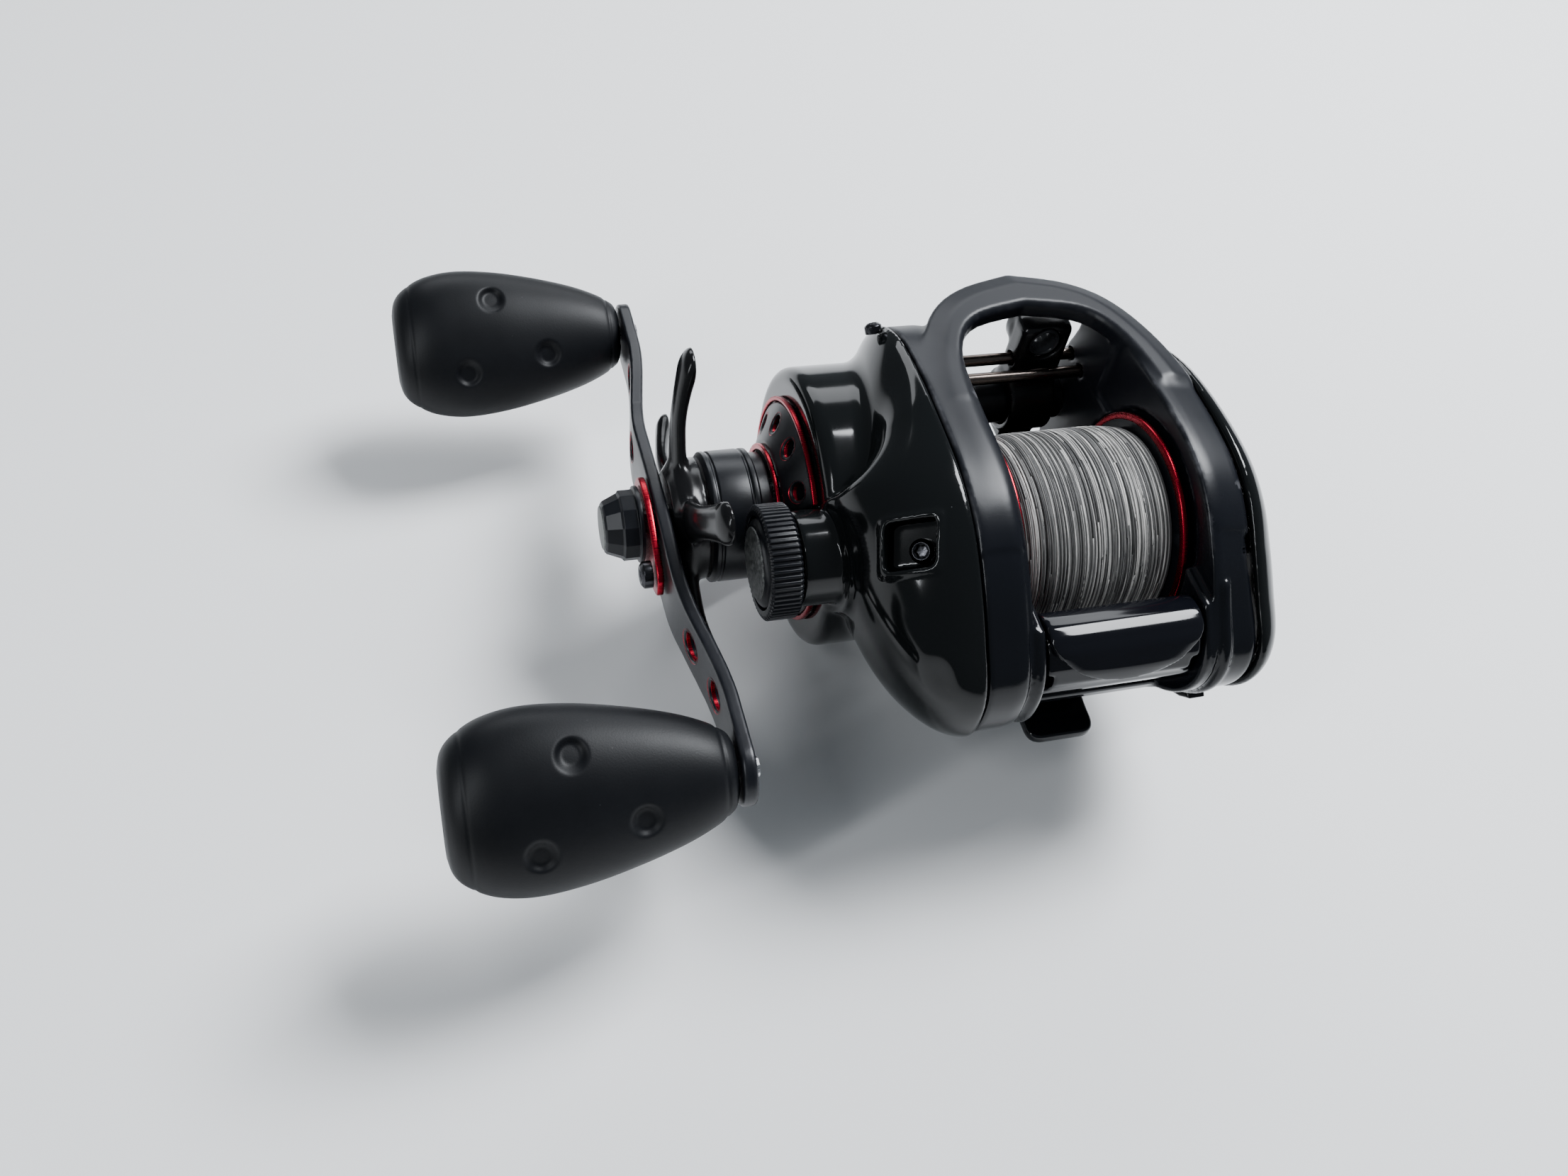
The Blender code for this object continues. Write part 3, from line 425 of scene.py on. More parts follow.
def bump(tree, height, strength, distance):
    return add(tree, "Bump", {"Height": height, "Strength": strength, "Distance": distance}).outputs["Normal"]


def multiply(tree, a, b):
    return add(tree, "Math", {0: a, 1: b}, operation="MULTIPLY").outputs[0]


def pointiness(tree):
    return add(tree, "NewGeometry").outputs["Pointiness"]


def shaded(colour, share):
    return tuple(min(channel * share, 1) for channel in colour)


def dust(tree, amount):
    """Sparse pale specks that lie on a glossy surface."""
    spots = add(tree, "TexVoronoi", {"Vector": own_place(tree), "Scale": 420}, feature="F1")
    dots = spread(tree, spots.outputs["Distance"], 0, 1, 0.05, 0.02)
    some = spread(tree, grain(tree, 300, 1), 0, amount, 0.55, 0.65)
    return multiply(tree, dots, some)


def gloss(tree, colour, rough, specks):
    smear = grain(tree, 55, 5, (1, 0.6, 1))
    return {
        "Base Color": mixed(tree, dust(tree, specks), colour, (0.22, 0.22, 0.23)),
        "Roughness": spread(tree, smear, rough * 0.6, rough * 1.9),
        "Specular IOR Level": 0.3,
        "Normal": bump(tree, grain(tree, 90, 2), 0.05, 0.0004)}


def satin(tree, colour, rough, metallic, wear, fine, worn, stretch=(1, 1, 1)):
    """Fine-blasted, anodised metal that has rubbed paler along its edges."""
    cloud = grain(tree, 60, 4)
    rubbed = spread(tree, pointiness(tree), 0, 1, 0.51, 0.58)
    patches = spread(tree, grain(tree, 210, 6), 0, worn, 0.42, 0.72)
    tone = mixed(tree, spread(tree, cloud, 0, 1), shaded(colour, 0.8), shaded(colour, 1.3))
    return {
        "Base Color": mixed(tree, multiply(tree, rubbed, patches), tone, wear),
        "Metallic": metallic,
        "Specular IOR Level": 0.34,
        "Roughness": spread(tree, cloud, rough * 0.85, rough * 1.2),
        "Normal": bump(tree, grain(tree, fine, 2, stretch), 0.25, 0.00003)}


def soft_touch(tree):
    """Matte rubbery coat with a faint polish where fingers rub."""
    cloud = grain(tree, 45, 5)
    tone = mixed(tree, spread(tree, cloud, 0, 1), (0.0014, 0.0018, 0.0028), (0.003, 0.0036, 0.0052))
    return {
        "Base Color": mixed(tree, dust(tree, 0.35), tone, (0.16, 0.16, 0.17)),
        "Roughness": spread(tree, cloud, 0.42, 0.54),
        "Specular IOR Level": 0.22,
        "Normal": bump(tree, grain(tree, 3800, 2), 0.35, 0.00003)}


def metal(tree, colour, rough):
    """Machined metal with fine tool marks around the X axis."""
    marks = grain(tree, 120, 3, (1, 40, 40))
    return {
        "Base Color": mixed(tree, spread(tree, grain(tree, 80, 4), 0, 1), shaded(colour, 0.72), colour),
        "Metallic": 1,
        "Roughness": spread(tree, marks, rough * 0.7, rough * 1.35),
        "Normal": bump(tree, marks, 0.15, 0.00003)}


def worn_face(tree, colour, pale, rough, scale):
    """A flat end that has lost its finish in speckles."""
    pits = grain(tree, scale, 6, rough=0.7)
    return {
        "Base Color": mixed(tree, spread(tree, pits, 0, 1, 0.4, 0.6), colour, pale),
        "Metallic": 0.35,
        "Roughness": spread(tree, pits, rough, rough * 1.6),
        "Normal": bump(tree, pits, 0.6, 0.0001)}


def braid(tree):
    """Multi-strand line: each wrap has its own tone, with a fine slanted weave."""
    wrap = add(tree, "Attribute", attribute_name="wrap").outputs["Fac"]
    tone = add(tree, "ValToRGB", {"Fac": wrap})
    stops = ((0, 0.006), (0.25, 0.02), (0.5, 0.11), (0.75, 0.3), (1, 0.6))
    ramp = tone.color_ramp
    while len(ramp.elements) < len(stops):
        ramp.elements.new(0.5)
    for element, (at, grey) in zip(ramp.elements, stops):
        element.position = at
        element.color = (grey, grey * 0.97, grey * 0.92, 1)
    streak = grain(tree, 260, 5, (8, 1, 1))
    soiled = spread(tree, streak, 0, 0.75, 0.38, 0.66)
    return {
        "Base Color": mixed(tree, soiled, tone.outputs["Color"], (0.09, 0.088, 0.085)),
        "Roughness": 0.62,
        "Sheen Weight": 0.3,
        "Normal": bump(tree, grain(tree, 5200, 2), 0.6, 0.00004)}


def carbon(tree):
    """Woven carbon washer."""
    weave = add(tree, "TexChecker", {
        "Vector": own_place(tree), "Scale": 900, "Color1": (0.012, 0.012, 0.013, 1),
        "Color2": (0.05, 0.05, 0.053, 1)})
    return {
        "Base Color": weave.outputs["Color"],
        "Roughness": 0.45,
        "Normal": bump(tree, weave.outputs["Fac"], 0.4, 0.00005)}


def frame_coat(tree):
    """Satin black over the front guard that turns to a polished black towards the rear."""
    forward = add(tree, "SeparateXYZ", {"Vector": own_place(tree)}).outputs["Y"]
    front = spread(tree, forward, 0, 1, -0.021, -0.005)
    rubbed = multiply(tree, spread(tree, pointiness(tree), 0, 1, 0.515, 0.56), front)
    patches = spread(tree, grain(tree, 260, 6), 0, 0.75, 0.45, 0.7)
    tone = mixed(tree, front, (0.0032, 0.0038, 0.0054), (0.005, 0.0058, 0.0088))
    smear = spread(tree, grain(tree, 70, 4), -0.03, 0.04)
    base = spread(tree, front, 0.13, 0.37, 0, 1)
    return {
        "Base Color": mixed(tree, multiply(tree, rubbed, patches), tone, (0.13, 0.13, 0.14)),
        "Specular IOR Level": 0.27,
        "Roughness": add(tree, "Math", {0: base, 1: smear}, operation="ADD").outputs[0],
        "Normal": bump(tree, grain(tree, 2600, 2), 0.12, 0.00003)}


COVER = made("cover_gloss", gloss, (0.0034, 0.0041, 0.0044), 0.08, 0.3)
BAR = made("bar_gloss", gloss, (0.003, 0.0034, 0.0052), 0.09, 0.45)
STAR = made("star_gloss", gloss, (0.0045, 0.0045, 0.005), 0.18, 0.15)
CERAMIC = made("guide_ceramic", gloss, (0.02, 0.021, 0.023), 0.08, 0)
FRAME = made("frame_coat", frame_coat)
ARM = made("arm_anodised", satin, (0.004, 0.0045, 0.007), 0.3, 0.15, (0.1, 0.1, 0.11), 2600, 0.3)
BLACK = made("turned_black", satin, (0.003, 0.0036, 0.0055), 0.3, 0.1, (0.06, 0.06, 0.07), 700, 0.25,
             (1, 30, 30))
KNOB = made("knob_soft_touch", soft_touch)
RED = made("red_anodised", metal, (0.4, 0.012, 0.03), 0.28)
STEEL = made("ground_steel", metal, (0.56, 0.56, 0.57), 0.26)
DARK_STEEL = made("dark_rod", metal, (0.16, 0.13, 0.115), 0.24)
SCREW_STEEL = made("screw_steel", metal, (0.05, 0.05, 0.055), 0.24)
BRASS = made("machined_brass", metal, (0.64, 0.46, 0.2), 0.3)
ALUMINIUM = made("turned_aluminium", metal, (0.6, 0.6, 0.62), 0.34)
MAGNET = made("magnet_plating", metal, (0.45, 0.45, 0.47), 0.28)
WORN_GREY = made("worn_end", worn_face, (0.012, 0.013, 0.014), (0.15, 0.155, 0.15), 0.36, 1500)
NUT_END = made("nut_end", worn_face, (0.1, 0.105, 0.1), (0.19, 0.195, 0.185), 0.38, 900)
WORN_PAD = made("worn_pad", worn_face, (0.035, 0.038, 0.042), (0.16, 0.17, 0.18), 0.3, 700)
LINE = made("line_braid", braid)
CARBON = made("carbon_weave", carbon)


# ---- side outlines
GEAR_SIDE = Outline((
    (-29.3, -2), (-28.4, -7.5), (-24.2, -13.2), (-17.2, -18.6), (-9, -21.2), (2, -21.6),
    (14, -21.4), (26, -18.6), (33.5, -11.5), (36, -2), (35.2, 7.6), (31.4, 14.4),
    (25, 18.6), (16, 20.3), (6, 20.7), (-4, 20.2), (-11.5, 17.8), (-18, 13.4),
    (-23.6, 8.2), (-28, 3.2),
), (4, 7))
PALM_SIDE = Outline((
    (-28.6, -1), (-27.6, -6), (-24, -11.4), (-17.5, -16.6), (-9, -19.8), (2, -20.6),
    (14, -20), (25, -16.6), (32, -10), (34.6, -1.5), (33, 6.5), (29, 12.4),
    (24, 16.2), (16, 19.2), (6, 20.4), (-4, 20), (-11.5, 17.4), (-18, 12.6),
    (-23.2, 7.4), (-27.2, 3.2),
), (-5, -3))


ARCH_REAR = -30


def arch(*half):
    """A closed outline, the same on both sides, bent into curves up to a pointed top."""
    share = np.linspace(0, len(half) - 1, 4 * len(half))
    side = list(zip(*(curve_at(share, values) for values in np.array(half).T)))
    left = [(-half[0][0], ARCH_REAR)] + [(-a, b) for a, b in side]
    return left + side[-2::-1] + [(half[0][0], ARCH_REAR)]


HOOD_OUTER = arch((20.6, -8), (20.6, 2), (20.5, 12), (18.2, 21.6), (14.2, 29), (8.4, 33.3), (0, 35.7))
HOOD_INNER = arch((14.8, -8), (14.8, 0.5), (14.7, 9), (12.7, 19.6), (8.6, 25.6), (0, 27.9))
# How far the walls stay inside the outlines, and where the covers meet the frame.
FIT = 0.985
SEAM = 21


def crowned(x, y, z, side, depth, power, tuck):
    """Roughly the distance to a shell that swells from a side's outline to its crown."""
    reach, radius = side.polar(y, z)
    radius = radius * (1 - tuck)
    out = np.maximum(reach / radius, 1e-4)
    up = np.maximum((np.abs(x) - SEAM) / depth, 1e-4)
    whole = (out ** power + up ** power) ** (1 / power)
    slope_out = (out / whole) ** (power - 1) / radius
    slope_up = (up / whole) ** (power - 1) / depth
    return (whole - 1) / np.sqrt(slope_out ** 2 + slope_up ** 2)


def along(x, y, z, centre, aim):
    """Distance along an aimed line and away from it."""
    away = x - centre[0], y - centre[1], z - centre[2]
    run = sum(gap * part for gap, part in zip(away, aim)) / hypot(*aim)
    return run, np.sqrt(np.maximum(sum(gap * gap for gap in away) - run * run, 0))


def around(x, y, z, axis, profile):
    """A closed (x, radius) profile turned about an axis."""
    return polygon(profile, x, np.hypot(y - axis[0], z - axis[1]))


# ---- frame
def gear_wall(y, z):
    return GEAR_SIDE.distance(y, z, FIT)


def palm_wall(x, y, z):
    """The palm wall's outline, falling away a little towards its cover."""
    return PALM_SIDE.distance(y, z, FIT) + 0.24 * np.maximum(x - 14.6, 0) * ease(z, 2, 12)


def visor(x, y, z):
    """The horseshoe-shaped front guard, with its sloping outer facet and its window."""
    edge = polygon(HOOD_OUTER, x, y)
    opening = polygon(HOOD_INNER, x, y)
    top = (z - 20.3 + 0.36 * np.maximum(edge + 3.4, 0)) * 0.94
    inner_bevel = z - 20.3 + 0.8 * np.maximum(0.9 - opening, 0)
    shape = meet(meet(edge, -opening, 0.4), meet(top, inner_bevel * 0.8, 0.3), 0.5)
    side = np.where(x < 0, gear_wall(y, z), palm_wall(x, y, z))
    shape = meet(shape, side - 12 * ease(y, 8, 18), 1.6)
    shape = np.maximum(np.maximum(shape, 8 - z), -14 - y)
    window = meet(np.abs(x) - 12.55, slab(z, 3.5, 17.3), 0.5)
    return meet(shape, -np.maximum(window, 14 - y), 0.5)


def side_plates(x, y, z):
    gear = meet(meet(gear_wall(y, z), x + 12.4, 4.5), -20.7 - x, 0.6)
    walls = np.minimum(gear, meet(palm_wall(x, y, z), slab(x, 12.4, 20.7), 1.6))
    near = meet(y + 13, z - 10.5, 1)
    for side, scale, low, high in ((GEAR_SIDE, 0.975, -13.6, -12.2), (PALM_SIDE, FIT, 12.2, 13.5),
                                   (PALM_SIDE, 1.01, 14.7, 16.2)):
        rib = meet(side.distance(y, z, scale), slab(x, low, high), 0.7)
        walls = np.minimum(walls, meet(rib, near, 0.6))
    gear_pocket = np.maximum(GEAR_SIDE.distance(y, z, 0.9), slab(x, -22, -16.2))
    palm_pocket = np.maximum(PALM_SIDE.distance(y, z, 0.9), slab(x, 16.2, 22))
    opening = meet(np.abs(x) - 13.6, meet(y - 19.5, 8 - z, 1), 0.8)
    behind = meet(y + 14, -GEAR_SIDE.distance(y, z, 0.955), 0.3)
    rail = meet(slab(np.abs(x), 14.1, 14.6), behind, 0.3)
    hollow = np.minimum(np.minimum(gear_pocket, palm_pocket), np.minimum(opening, rail))
    seat = np.maximum(np.hypot(y, z) - RIM - 0.6, slab(x, -13.7, 21.7))
    return meet(walls, -np.minimum(hollow, seat), 0.35)


def frame_field(x, y, z):
    floor = block(x, y, z, (-13, -15, -20.2), (13, 30, -17.5))
    rear = polygon([(-22.4, -10.6), (-21.6, -13.4), (-18.2, -19.2), (-16.8, -20), (-8, -20),
                    (-8, -18.2), (-13, -15), (-17.2, -10.6)], y, z)
    rear = meet(rear, np.abs(x) - 13, 0.8)
    front = block(x, y, z, (-13, 22.5, -19.8), (13, 30.2, -10.8), 2)
    pedestal = block(x, y, z, (-6.2, -12, -22.2), (6.2, 24, -18.2))
    reach = np.abs(y - 7) / 30
    sides = np.abs(x) - 5.5 - 1.6 * np.maximum(1 - reach * 1.2, 0)
    plan = meet(sides, np.abs(y - 7) - 30, 2.4)
    foot = meet(plan, slab(z, FOOT_UNDER, FOOT_UNDER + 3 - 1.2 * reach), 0.5)
    base = join(join(floor, pedestal, 1.4), join(front, rear, 0.8), 1)
    whole = join(side_plates(x, y, z), join(base, foot, 1.2), 0.8)
    whole = join(whole, visor(x, y, z), 1)
    holes = (
        (SPOOL_AXIS, 5.3, -18, -13), (DRIVE_AXIS, 3.3, -18, -12), (WORM_AXIS, 1.6, -18.7, -11),
        (WORM_AXIS, 5.2, -22, -16.2), (DRIVE_AXIS, 10.5, -22, -16.2), (WORM_AXIS, 1.6, 11, 14.6),
        (GUIDE_ROD[1:], 1.1, -14.4, 14.4), (STAY_ROD[1:], 1.1, -14.4, 14.4),
        ((-1, 8.5), 1.1, -18, -14.2), ((-1, -8.5), 1.1, -18, -14.2))
    cam_slot = block(x, y, z, (-17, -25.2, -8.6), (-11, -21.6, -0.4), 0.3)
    bar_room = block(x, y, z, (-12, -32, -11), (12, -18.6, 9), 0.3)
    return cut(whole, cam_slot, bar_room, *(bore(x, y, z, *hole) for hole in holes))


surface("frame_body", frame_field, (-21, -31, -24), (21, 38, 21), 0.42,
    (FRAME, "frame", "frame_black", "frame"))


# ---- side covers
POCKET = (-27.9, -9.6, 12.4)
POCKET_ACROSS = (0.838, -0.419, 0.349)
POCKET_DOWN = (0, -0.824, -0.568)
POCKET_OUT = (-0.5256, -0.476, 0.6905)
FRONT_SCREW = (-23.4, 28.3, 16.6)
FRONT_SCREW_OUT = (-0.15, 0.6, 0.8)


def screw_pocket(x, y, z):
    """The small box-shaped well that a cover screw sits in, open on its upper side."""
    dx, dy, dz = x - POCKET[0], y - POCKET[1], z - POCKET[2]
    across, down, out = (dx * a + dy * b + dz * c for a, b, c in (POCKET_ACROSS, POCKET_DOWN, POCKET_OUT))
    return block(across, down, out, (-3.6, -3.6, -2.6), (3.6, 2.9, 9), 1.2, 0.8)


def gear_cover_field(x, y, z):
    turn = np.arctan2(z - GEAR_SIDE.crown[1], y - GEAR_SIDE.crown[0])
    ahead = ease(np.cos(turn - 0.17), -0.4, 0.9)
    nose = ease(np.cos(turn - 0.12), 0.45, 1) * ease(-x, 20.5, 26.5)
    crown = crowned(x, y, z, GEAR_SIDE, 14.6 - 6.4 * ahead, 1.9, 0.09 * nose)
    dome = meet(disc(y, z, DRIVE_AXIS, 21.8), -35.7 - x, 2.2)
    skin = join(crown, dome, 2)
    scoop = ball(x, y, z, (-29.4, -27.9, 7), (4.6, 5.2, 7.2))
    shape = meet(skin, -scoop, 1.2)
    foot = around(x, y, z, SPOOL_AXIS, [(-29, 0), (-29, 9.3), (-34.6, 8.3), (-34.9, 0)])
    foot = np.maximum(foot, -35 - x)
    neck = meet(disc(y, z, SPOOL_AXIS, 6.9), slab(x, -40.7, -29), 0.5)
    shape = join(join(shape, foot, 1.6), neck, 0.8)
    recess = screw_pocket(x, y, z)
    lip = meet(recess - 0.8, crown - 0.3, 0.4)
    shape = join(shape, lip, 0.5)
    back = np.maximum(-0.8 - gear_wall(y, z), -22.4 - x)
    housing = bore(x, y, z, DRIVE_AXIS, 10.2, -36, -30.4)
    room = cut(np.maximum(join(crown, dome, 1) + 2, -33.6 - x), recess - 1.6, back, housing)
    shape = meet(cut(meet(shape, x + SEAM, 0.7), room), -recess, 0.35)
    run, away = along(x, y, z, FRONT_SCREW, FRONT_SCREW_OUT)
    return cut(shape, np.maximum(away - 1.6, slab(run, -0.9, 4)),
               bore(x, y, z, DRIVE_AXIS, 8.3, -38, -29), bore(x, y, z, SPOOL_AXIS, 4.3, -42, -28))


surface("gear_cover", gear_cover_field, (-41, -31, -31), (-21, 39, 22), 0.4,
    (COVER, "frame", "cover_black", "gear_side_cover"))


def palm_cover_field(x, y, z):
    crown = crowned(x, y, z, PALM_SIDE, 8, 2, 0.06 * ease(z, 2, 12))
    shape = meet(crown, x - 28.4, 0.8)
    room = np.maximum(cut(crown + 1.6, np.hypot(y, z) - 7), x - 27)
    return cut(meet(shape, SEAM - x, 0.7), room, bore(x, y, z, SPOOL_AXIS, 5.3, 20, 26))


surface("palm_cover", palm_cover_field, (21, -30, -22), (29, 36, 22), 0.42,
    (COVER, "frame", "cover_black", "palm_side_cover"))


# ---- drag ring and red trims
def rim_rings(name, spots, radius, face_x, body):
    """Red chamfers set into the edges of round holes on a face that looks along -X."""
    verts, faces = [], []
    inner, outer = radius - 0.03, radius + 0.42
    steps = 32
    for spot in spots:
        faces += loop_faces(len(verts), steps, 4, True)
        for step in range(steps):
            turn = TAU * step / steps
            for reach, depth in ((outer, -0.05), (inner, 0.36), (inner, 0.85), (outer, 0.3)):
                y, z = spot[0] + reach * cos(turn), spot[1] + reach * sin(turn)
                verts.append((face_x(y, z) + depth, y, z))
    place(name, verts, faces, (RED, body, "red_metal"), (face_x(*spots[0]), *spots[0]), 40)


RING_PROFILE = [(-36, 8.9), (-37.2, 8.9), (-39.4, 9.9), (-39.4, 10.9), (-36.6, 16.6), (-36, 16.6)]
RING_HOLES = [(DRIVE[1] + 13.9 * cos(turn), DRIVE[2] + 13.9 * sin(turn))
              for turn in np.arange(12) * TAU / 12]
RING_HOLE_R = 1.3
NECK_ROOM = 7.3


def drag_ring_field(x, y, z):
    shape = around(x, y, z, DRIVE_AXIS, RING_PROFILE)
    for spot in RING_HOLES:
        shape = meet(shape, -disc(y, z, spot, RING_HOLE_R), 0.15)
    return meet(shape, NECK_ROOM - np.hypot(y, z), 0.2)


def ring_face(y, z):
    reach = hypot(y - DRIVE[1], z - DRIVE[2])
    return -39.4 + (reach - 10.9) * 2.8 / 5.7


surface("drag_ring", drag_ring_field, (-39.5, -1, -26), (-36, 34, 8), 0.26,
    (BLACK, "frame", "satin_black", "drag_cover_ring"), (-37.5, *DRIVE_AXIS))
rim_rings("ring_hole_chamfers", [spot for spot in RING_HOLES if hypot(*spot) > 9.2], RING_HOLE_R, ring_face,
    "frame")


def outer_trim_field(x, y, z):
    band = meet(np.abs(disc(y, z, DRIVE_AXIS, 17.2)) - 0.32, slab(x, -36.75, -36), 0.15)
    return np.maximum(band, NECK_ROOM - np.hypot(y, z))


surface("drag_trim_ring", outer_trim_field, (-36.9, -1, -27), (-35.9, 34.4, 9), 0.16,
    (RED, "frame", "red_metal", "drag_trim_outer"), (-36.3, *DRIVE_AXIS))
turned("drag_trim_collar", [(-40.25, 9.7), (-40.25, 10.6), (-39.7, 10.6), (-39.7, 9.7)],
    (RED, "frame", "red_metal", "drag_trim_inner"), 128, 0.15, axis=DRIVE_AXIS)


# ---- screws and fixed rods
def hex_socket(x, radius, angle):
    return radius if radius > 0.95 else radius * (0.93 + 0.07 * cos(6 * angle))


turned("rear_cover_screw", [(-1, 0), (-1, 1.75), (0.4, 1.75), (0.95, 1.2), (0.8, 0.9), (0.1, 0.8), (0.1, 0)],
    (SCREW_STEEL, "frame", "steel", "cover_screw_rear"), 48, 0.1, hex_socket, 30, aim=POCKET_OUT,
    at=(-26.4, -9.6, 11.3))
turned("front_cover_screw", [(-0.6, 0), (-0.6, 1.3), (0.5, 1.3), (0.9, 0.85), (0.9, 0.7), (0.3, 0.6),
    (0.3, 0)], (SCREW_STEEL, "frame", "steel", "cover_screw_front"), 48, 0.1, hex_socket, 30,
    aim=FRONT_SCREW_OUT, at=FRONT_SCREW)

ROD_HALF = 14
ROD_R = 0.95
ROD_CUT = ROD_R * 0.25
for node, centre in (("guide_rod", GUIDE_ROD), ("stay_rod", STAY_ROD)):
    turned(node + "_bar", [
        (-ROD_HALF, 0), (-ROD_HALF, ROD_R - ROD_CUT), (ROD_CUT - ROD_HALF, ROD_R),
        (ROD_HALF - ROD_CUT, ROD_R), (ROD_HALF, ROD_R - ROD_CUT), (ROD_HALF, 0)],
        (DARK_STEEL, "frame", "rod_steel", node), 64, 0.05, axis=centre[1:])


# ---- spool and wound line
turned("spool_body", [(-13.2, 7.2), (-13.2, RIM - 0.5), (-12.9, RIM), (-12.3, RIM), (-12, RIM - 0.3),
    (-12, 8.5), (12, 8.5), (12, RIM - 0.3), (12.3, RIM), (12.9, RIM), (13.2, RIM - 0.5), (13.2, 7.2),
    (1, 7.2), (1, 2.2), (-1, 2.2), (-1, 7.2)], (BLACK, "spool", "satin_black", "spool"), 180, 0.15, sharp=40)
for side, name in ((-1, "gear"), (1, "palm")):
    inner = side * 11.98
    outer = side * 12.75
    turned("spool_ring_" + name, [
        (inner, RIM - 0.95), (inner, RIM + 0.02), (side * 12.2, RIM + 0.16), (outer, RIM + 0.16),
        (outer, RIM - 0.95)], (RED, "spool", "red_metal"), 180, 0.12, sharp=40)


def pack_radius(x):
    return LINE_R - 0.38 - 0.42 * ease(abs(x), 6, 11.6)


def wound_line():
    """A solid core with hundreds of turns of line laid over it, some of them crossing."""
    dice = np.random.default_rng(11)
    core = [(x, pack_radius(x)) for x in np.linspace(-11.65, 11.65, 40)]
    verts, faces = turned_points([(-11.65, 8.8)] + core + [(11.65, 8.8)], SPOOL_AXIS, 96)
    tones = [0.04] * len(verts)
    steps, sides = 84, 6
    pitch = 0.29
    edge = 11.45

    def strand(start, end, turns, lift, thick, tone):
        count = int(abs(turns) * steps)
        phase = dice.uniform(0, TAU)
        waver = dice.uniform(0.02, 0.07)
        rate = dice.integers(2, 6)
        base = len(verts)
        for k in range(count + 1):
            t = k / count
            turn = phase + TAU * turns * t
            x = start + (end - start) * t + waver * sin(rate * turn + phase)
            radius = pack_radius(x) + lift
            for side in range(sides):
                bend = TAU * side / sides
                reach = radius + thick * cos(bend)
                verts.append((x + thick * sin(bend), reach * cos(turn), reach * sin(turn)))
                tones.append(tone)
        faces.extend(loop_faces(base, count + 1, sides))
        for ring in (0, count):
            faces.append([base + ring * sides + side for side in range(sides)])

    def picked(tones_here, jitter):
        return float(np.clip(dice.choice(tones_here) + dice.normal(0, jitter), 0, 1))

    x = -edge
    while x < edge - pitch:
        tone = picked([0, 0.08, 0.35, 0.75, 1], 0.06)
        end = min(x + pitch, edge)
        strand(x, end, 1, 0.1, 0.135, tone)
        x = end
    for _ in range(84):
        start = dice.uniform(-11.2, 9.6)
        end = min(start + dice.uniform(0.4, 1.5), 11.4)
        tone = picked([0, 0.1, 0.55, 0.9, 1], 0.05)
        strand(start, end, dice.uniform(0.6, 1.3), 0.27, 0.12, tone)
    obj = place("line_windings", verts, faces, (LINE, "spool", "line_braid", "line_pack"))
    wrap = obj.data.attributes.new("wrap", "FLOAT", "POINT")
    wrap.data.foreach_set("value", tones)


wound_line()


# ---- line guide and worm
def guide_field(x, y, z):
    cx = GUIDE_EYE[0]
    ring = meet(disc(y, z, WORM_AXIS, 5.3), slab(x, cx - 3.9, cx + 3.9), 0.7)
    upright = block(x, y, z, (cx - 4.3, 27.6, -1), (cx + 4.3, 32.4, 14.6), 1.6)
    stem = block(x, y, z, (cx - 2.9, WORM[1] - 2.9, -9.4), (cx + 2.9, WORM[1] + 2.9, -3))
    shape = join(join(ring, upright, 1.2), stem, 0.8)
    eye = np.hypot(x - cx, z - 11.2)
    bezel = meet(eye - 4.5, slab(y, 31.6, 34), 0.8)
    shape = join(shape, bezel, 0.5)
    shape = meet(shape, -disc(y, z, WORM_AXIS, 4.15), 0.15)
    shape = meet(cut(shape, disc(y, z, GUIDE_ROD[1:], 1.25)), 2.9 - eye, 0.3)
    return cut(shape, bore(z, x, y, (cx, WORM[1]), 2.1, -12, -4.6))


surface("line_guide_carriage", guide_field, (1, 23.5, -10), (11, 36, 17), 0.26,
    (STAR, "line_guide", "gloss_black", "line_guide"), tuple(GUIDE_EYE))
turned("guide_ring", [(-2.2, 2), (-2.5, 2.3), (-2.2, 2.6), (2.9, 2.6), (3.4, 2.3), (2.9, 2), (0, 1.8)],
    (CERAMIC, "line_guide", "ceramic", "guide_insert"), 96, 0.3, aim=(0, 1, 0), at=(GUIDE_EYE[0], 30.4, 11.2))
turned("pawl_cap_screw", [(-1, 0), (-1, 1.5), (-0.7, 1.8), (1, 1.8), (1, 0)],
    (BLACK, "line_guide", "satin_black", "pawl_cap"), 64, 0.1, aim=(0, 0, 1), at=(GUIDE_EYE[0], WORM[1],
    -8.4))


def guard_field(x, y, z):
    shape = meet(np.abs(disc(y, z, WORM_AXIS, 3.45)) - 0.35, slab(x, -12.1, 12.1), 0.2)
    slot_cut = block(x, y, z, (-11, WORM[1] - 1.7, WORM[2] - 6), (11, WORM[1] + 1.7, WORM[2]), 0.6)
    return meet(shape, -slot_cut, 0.15)


def crossed_groove(x, radius, angle):
    """The worm's two opposite spirals that carry the pawl to and fro."""
    if radius < 2 or abs(x) > 10.6:
        return radius
    pitch = 5.2
    nearest = min(abs((x / pitch + sign * angle / TAU + 0.5) % 1 - 0.5) for sign in (-1, 1))
    return radius - 0.75 * (1 - float(ease(nearest, 0.1, 0.17)))


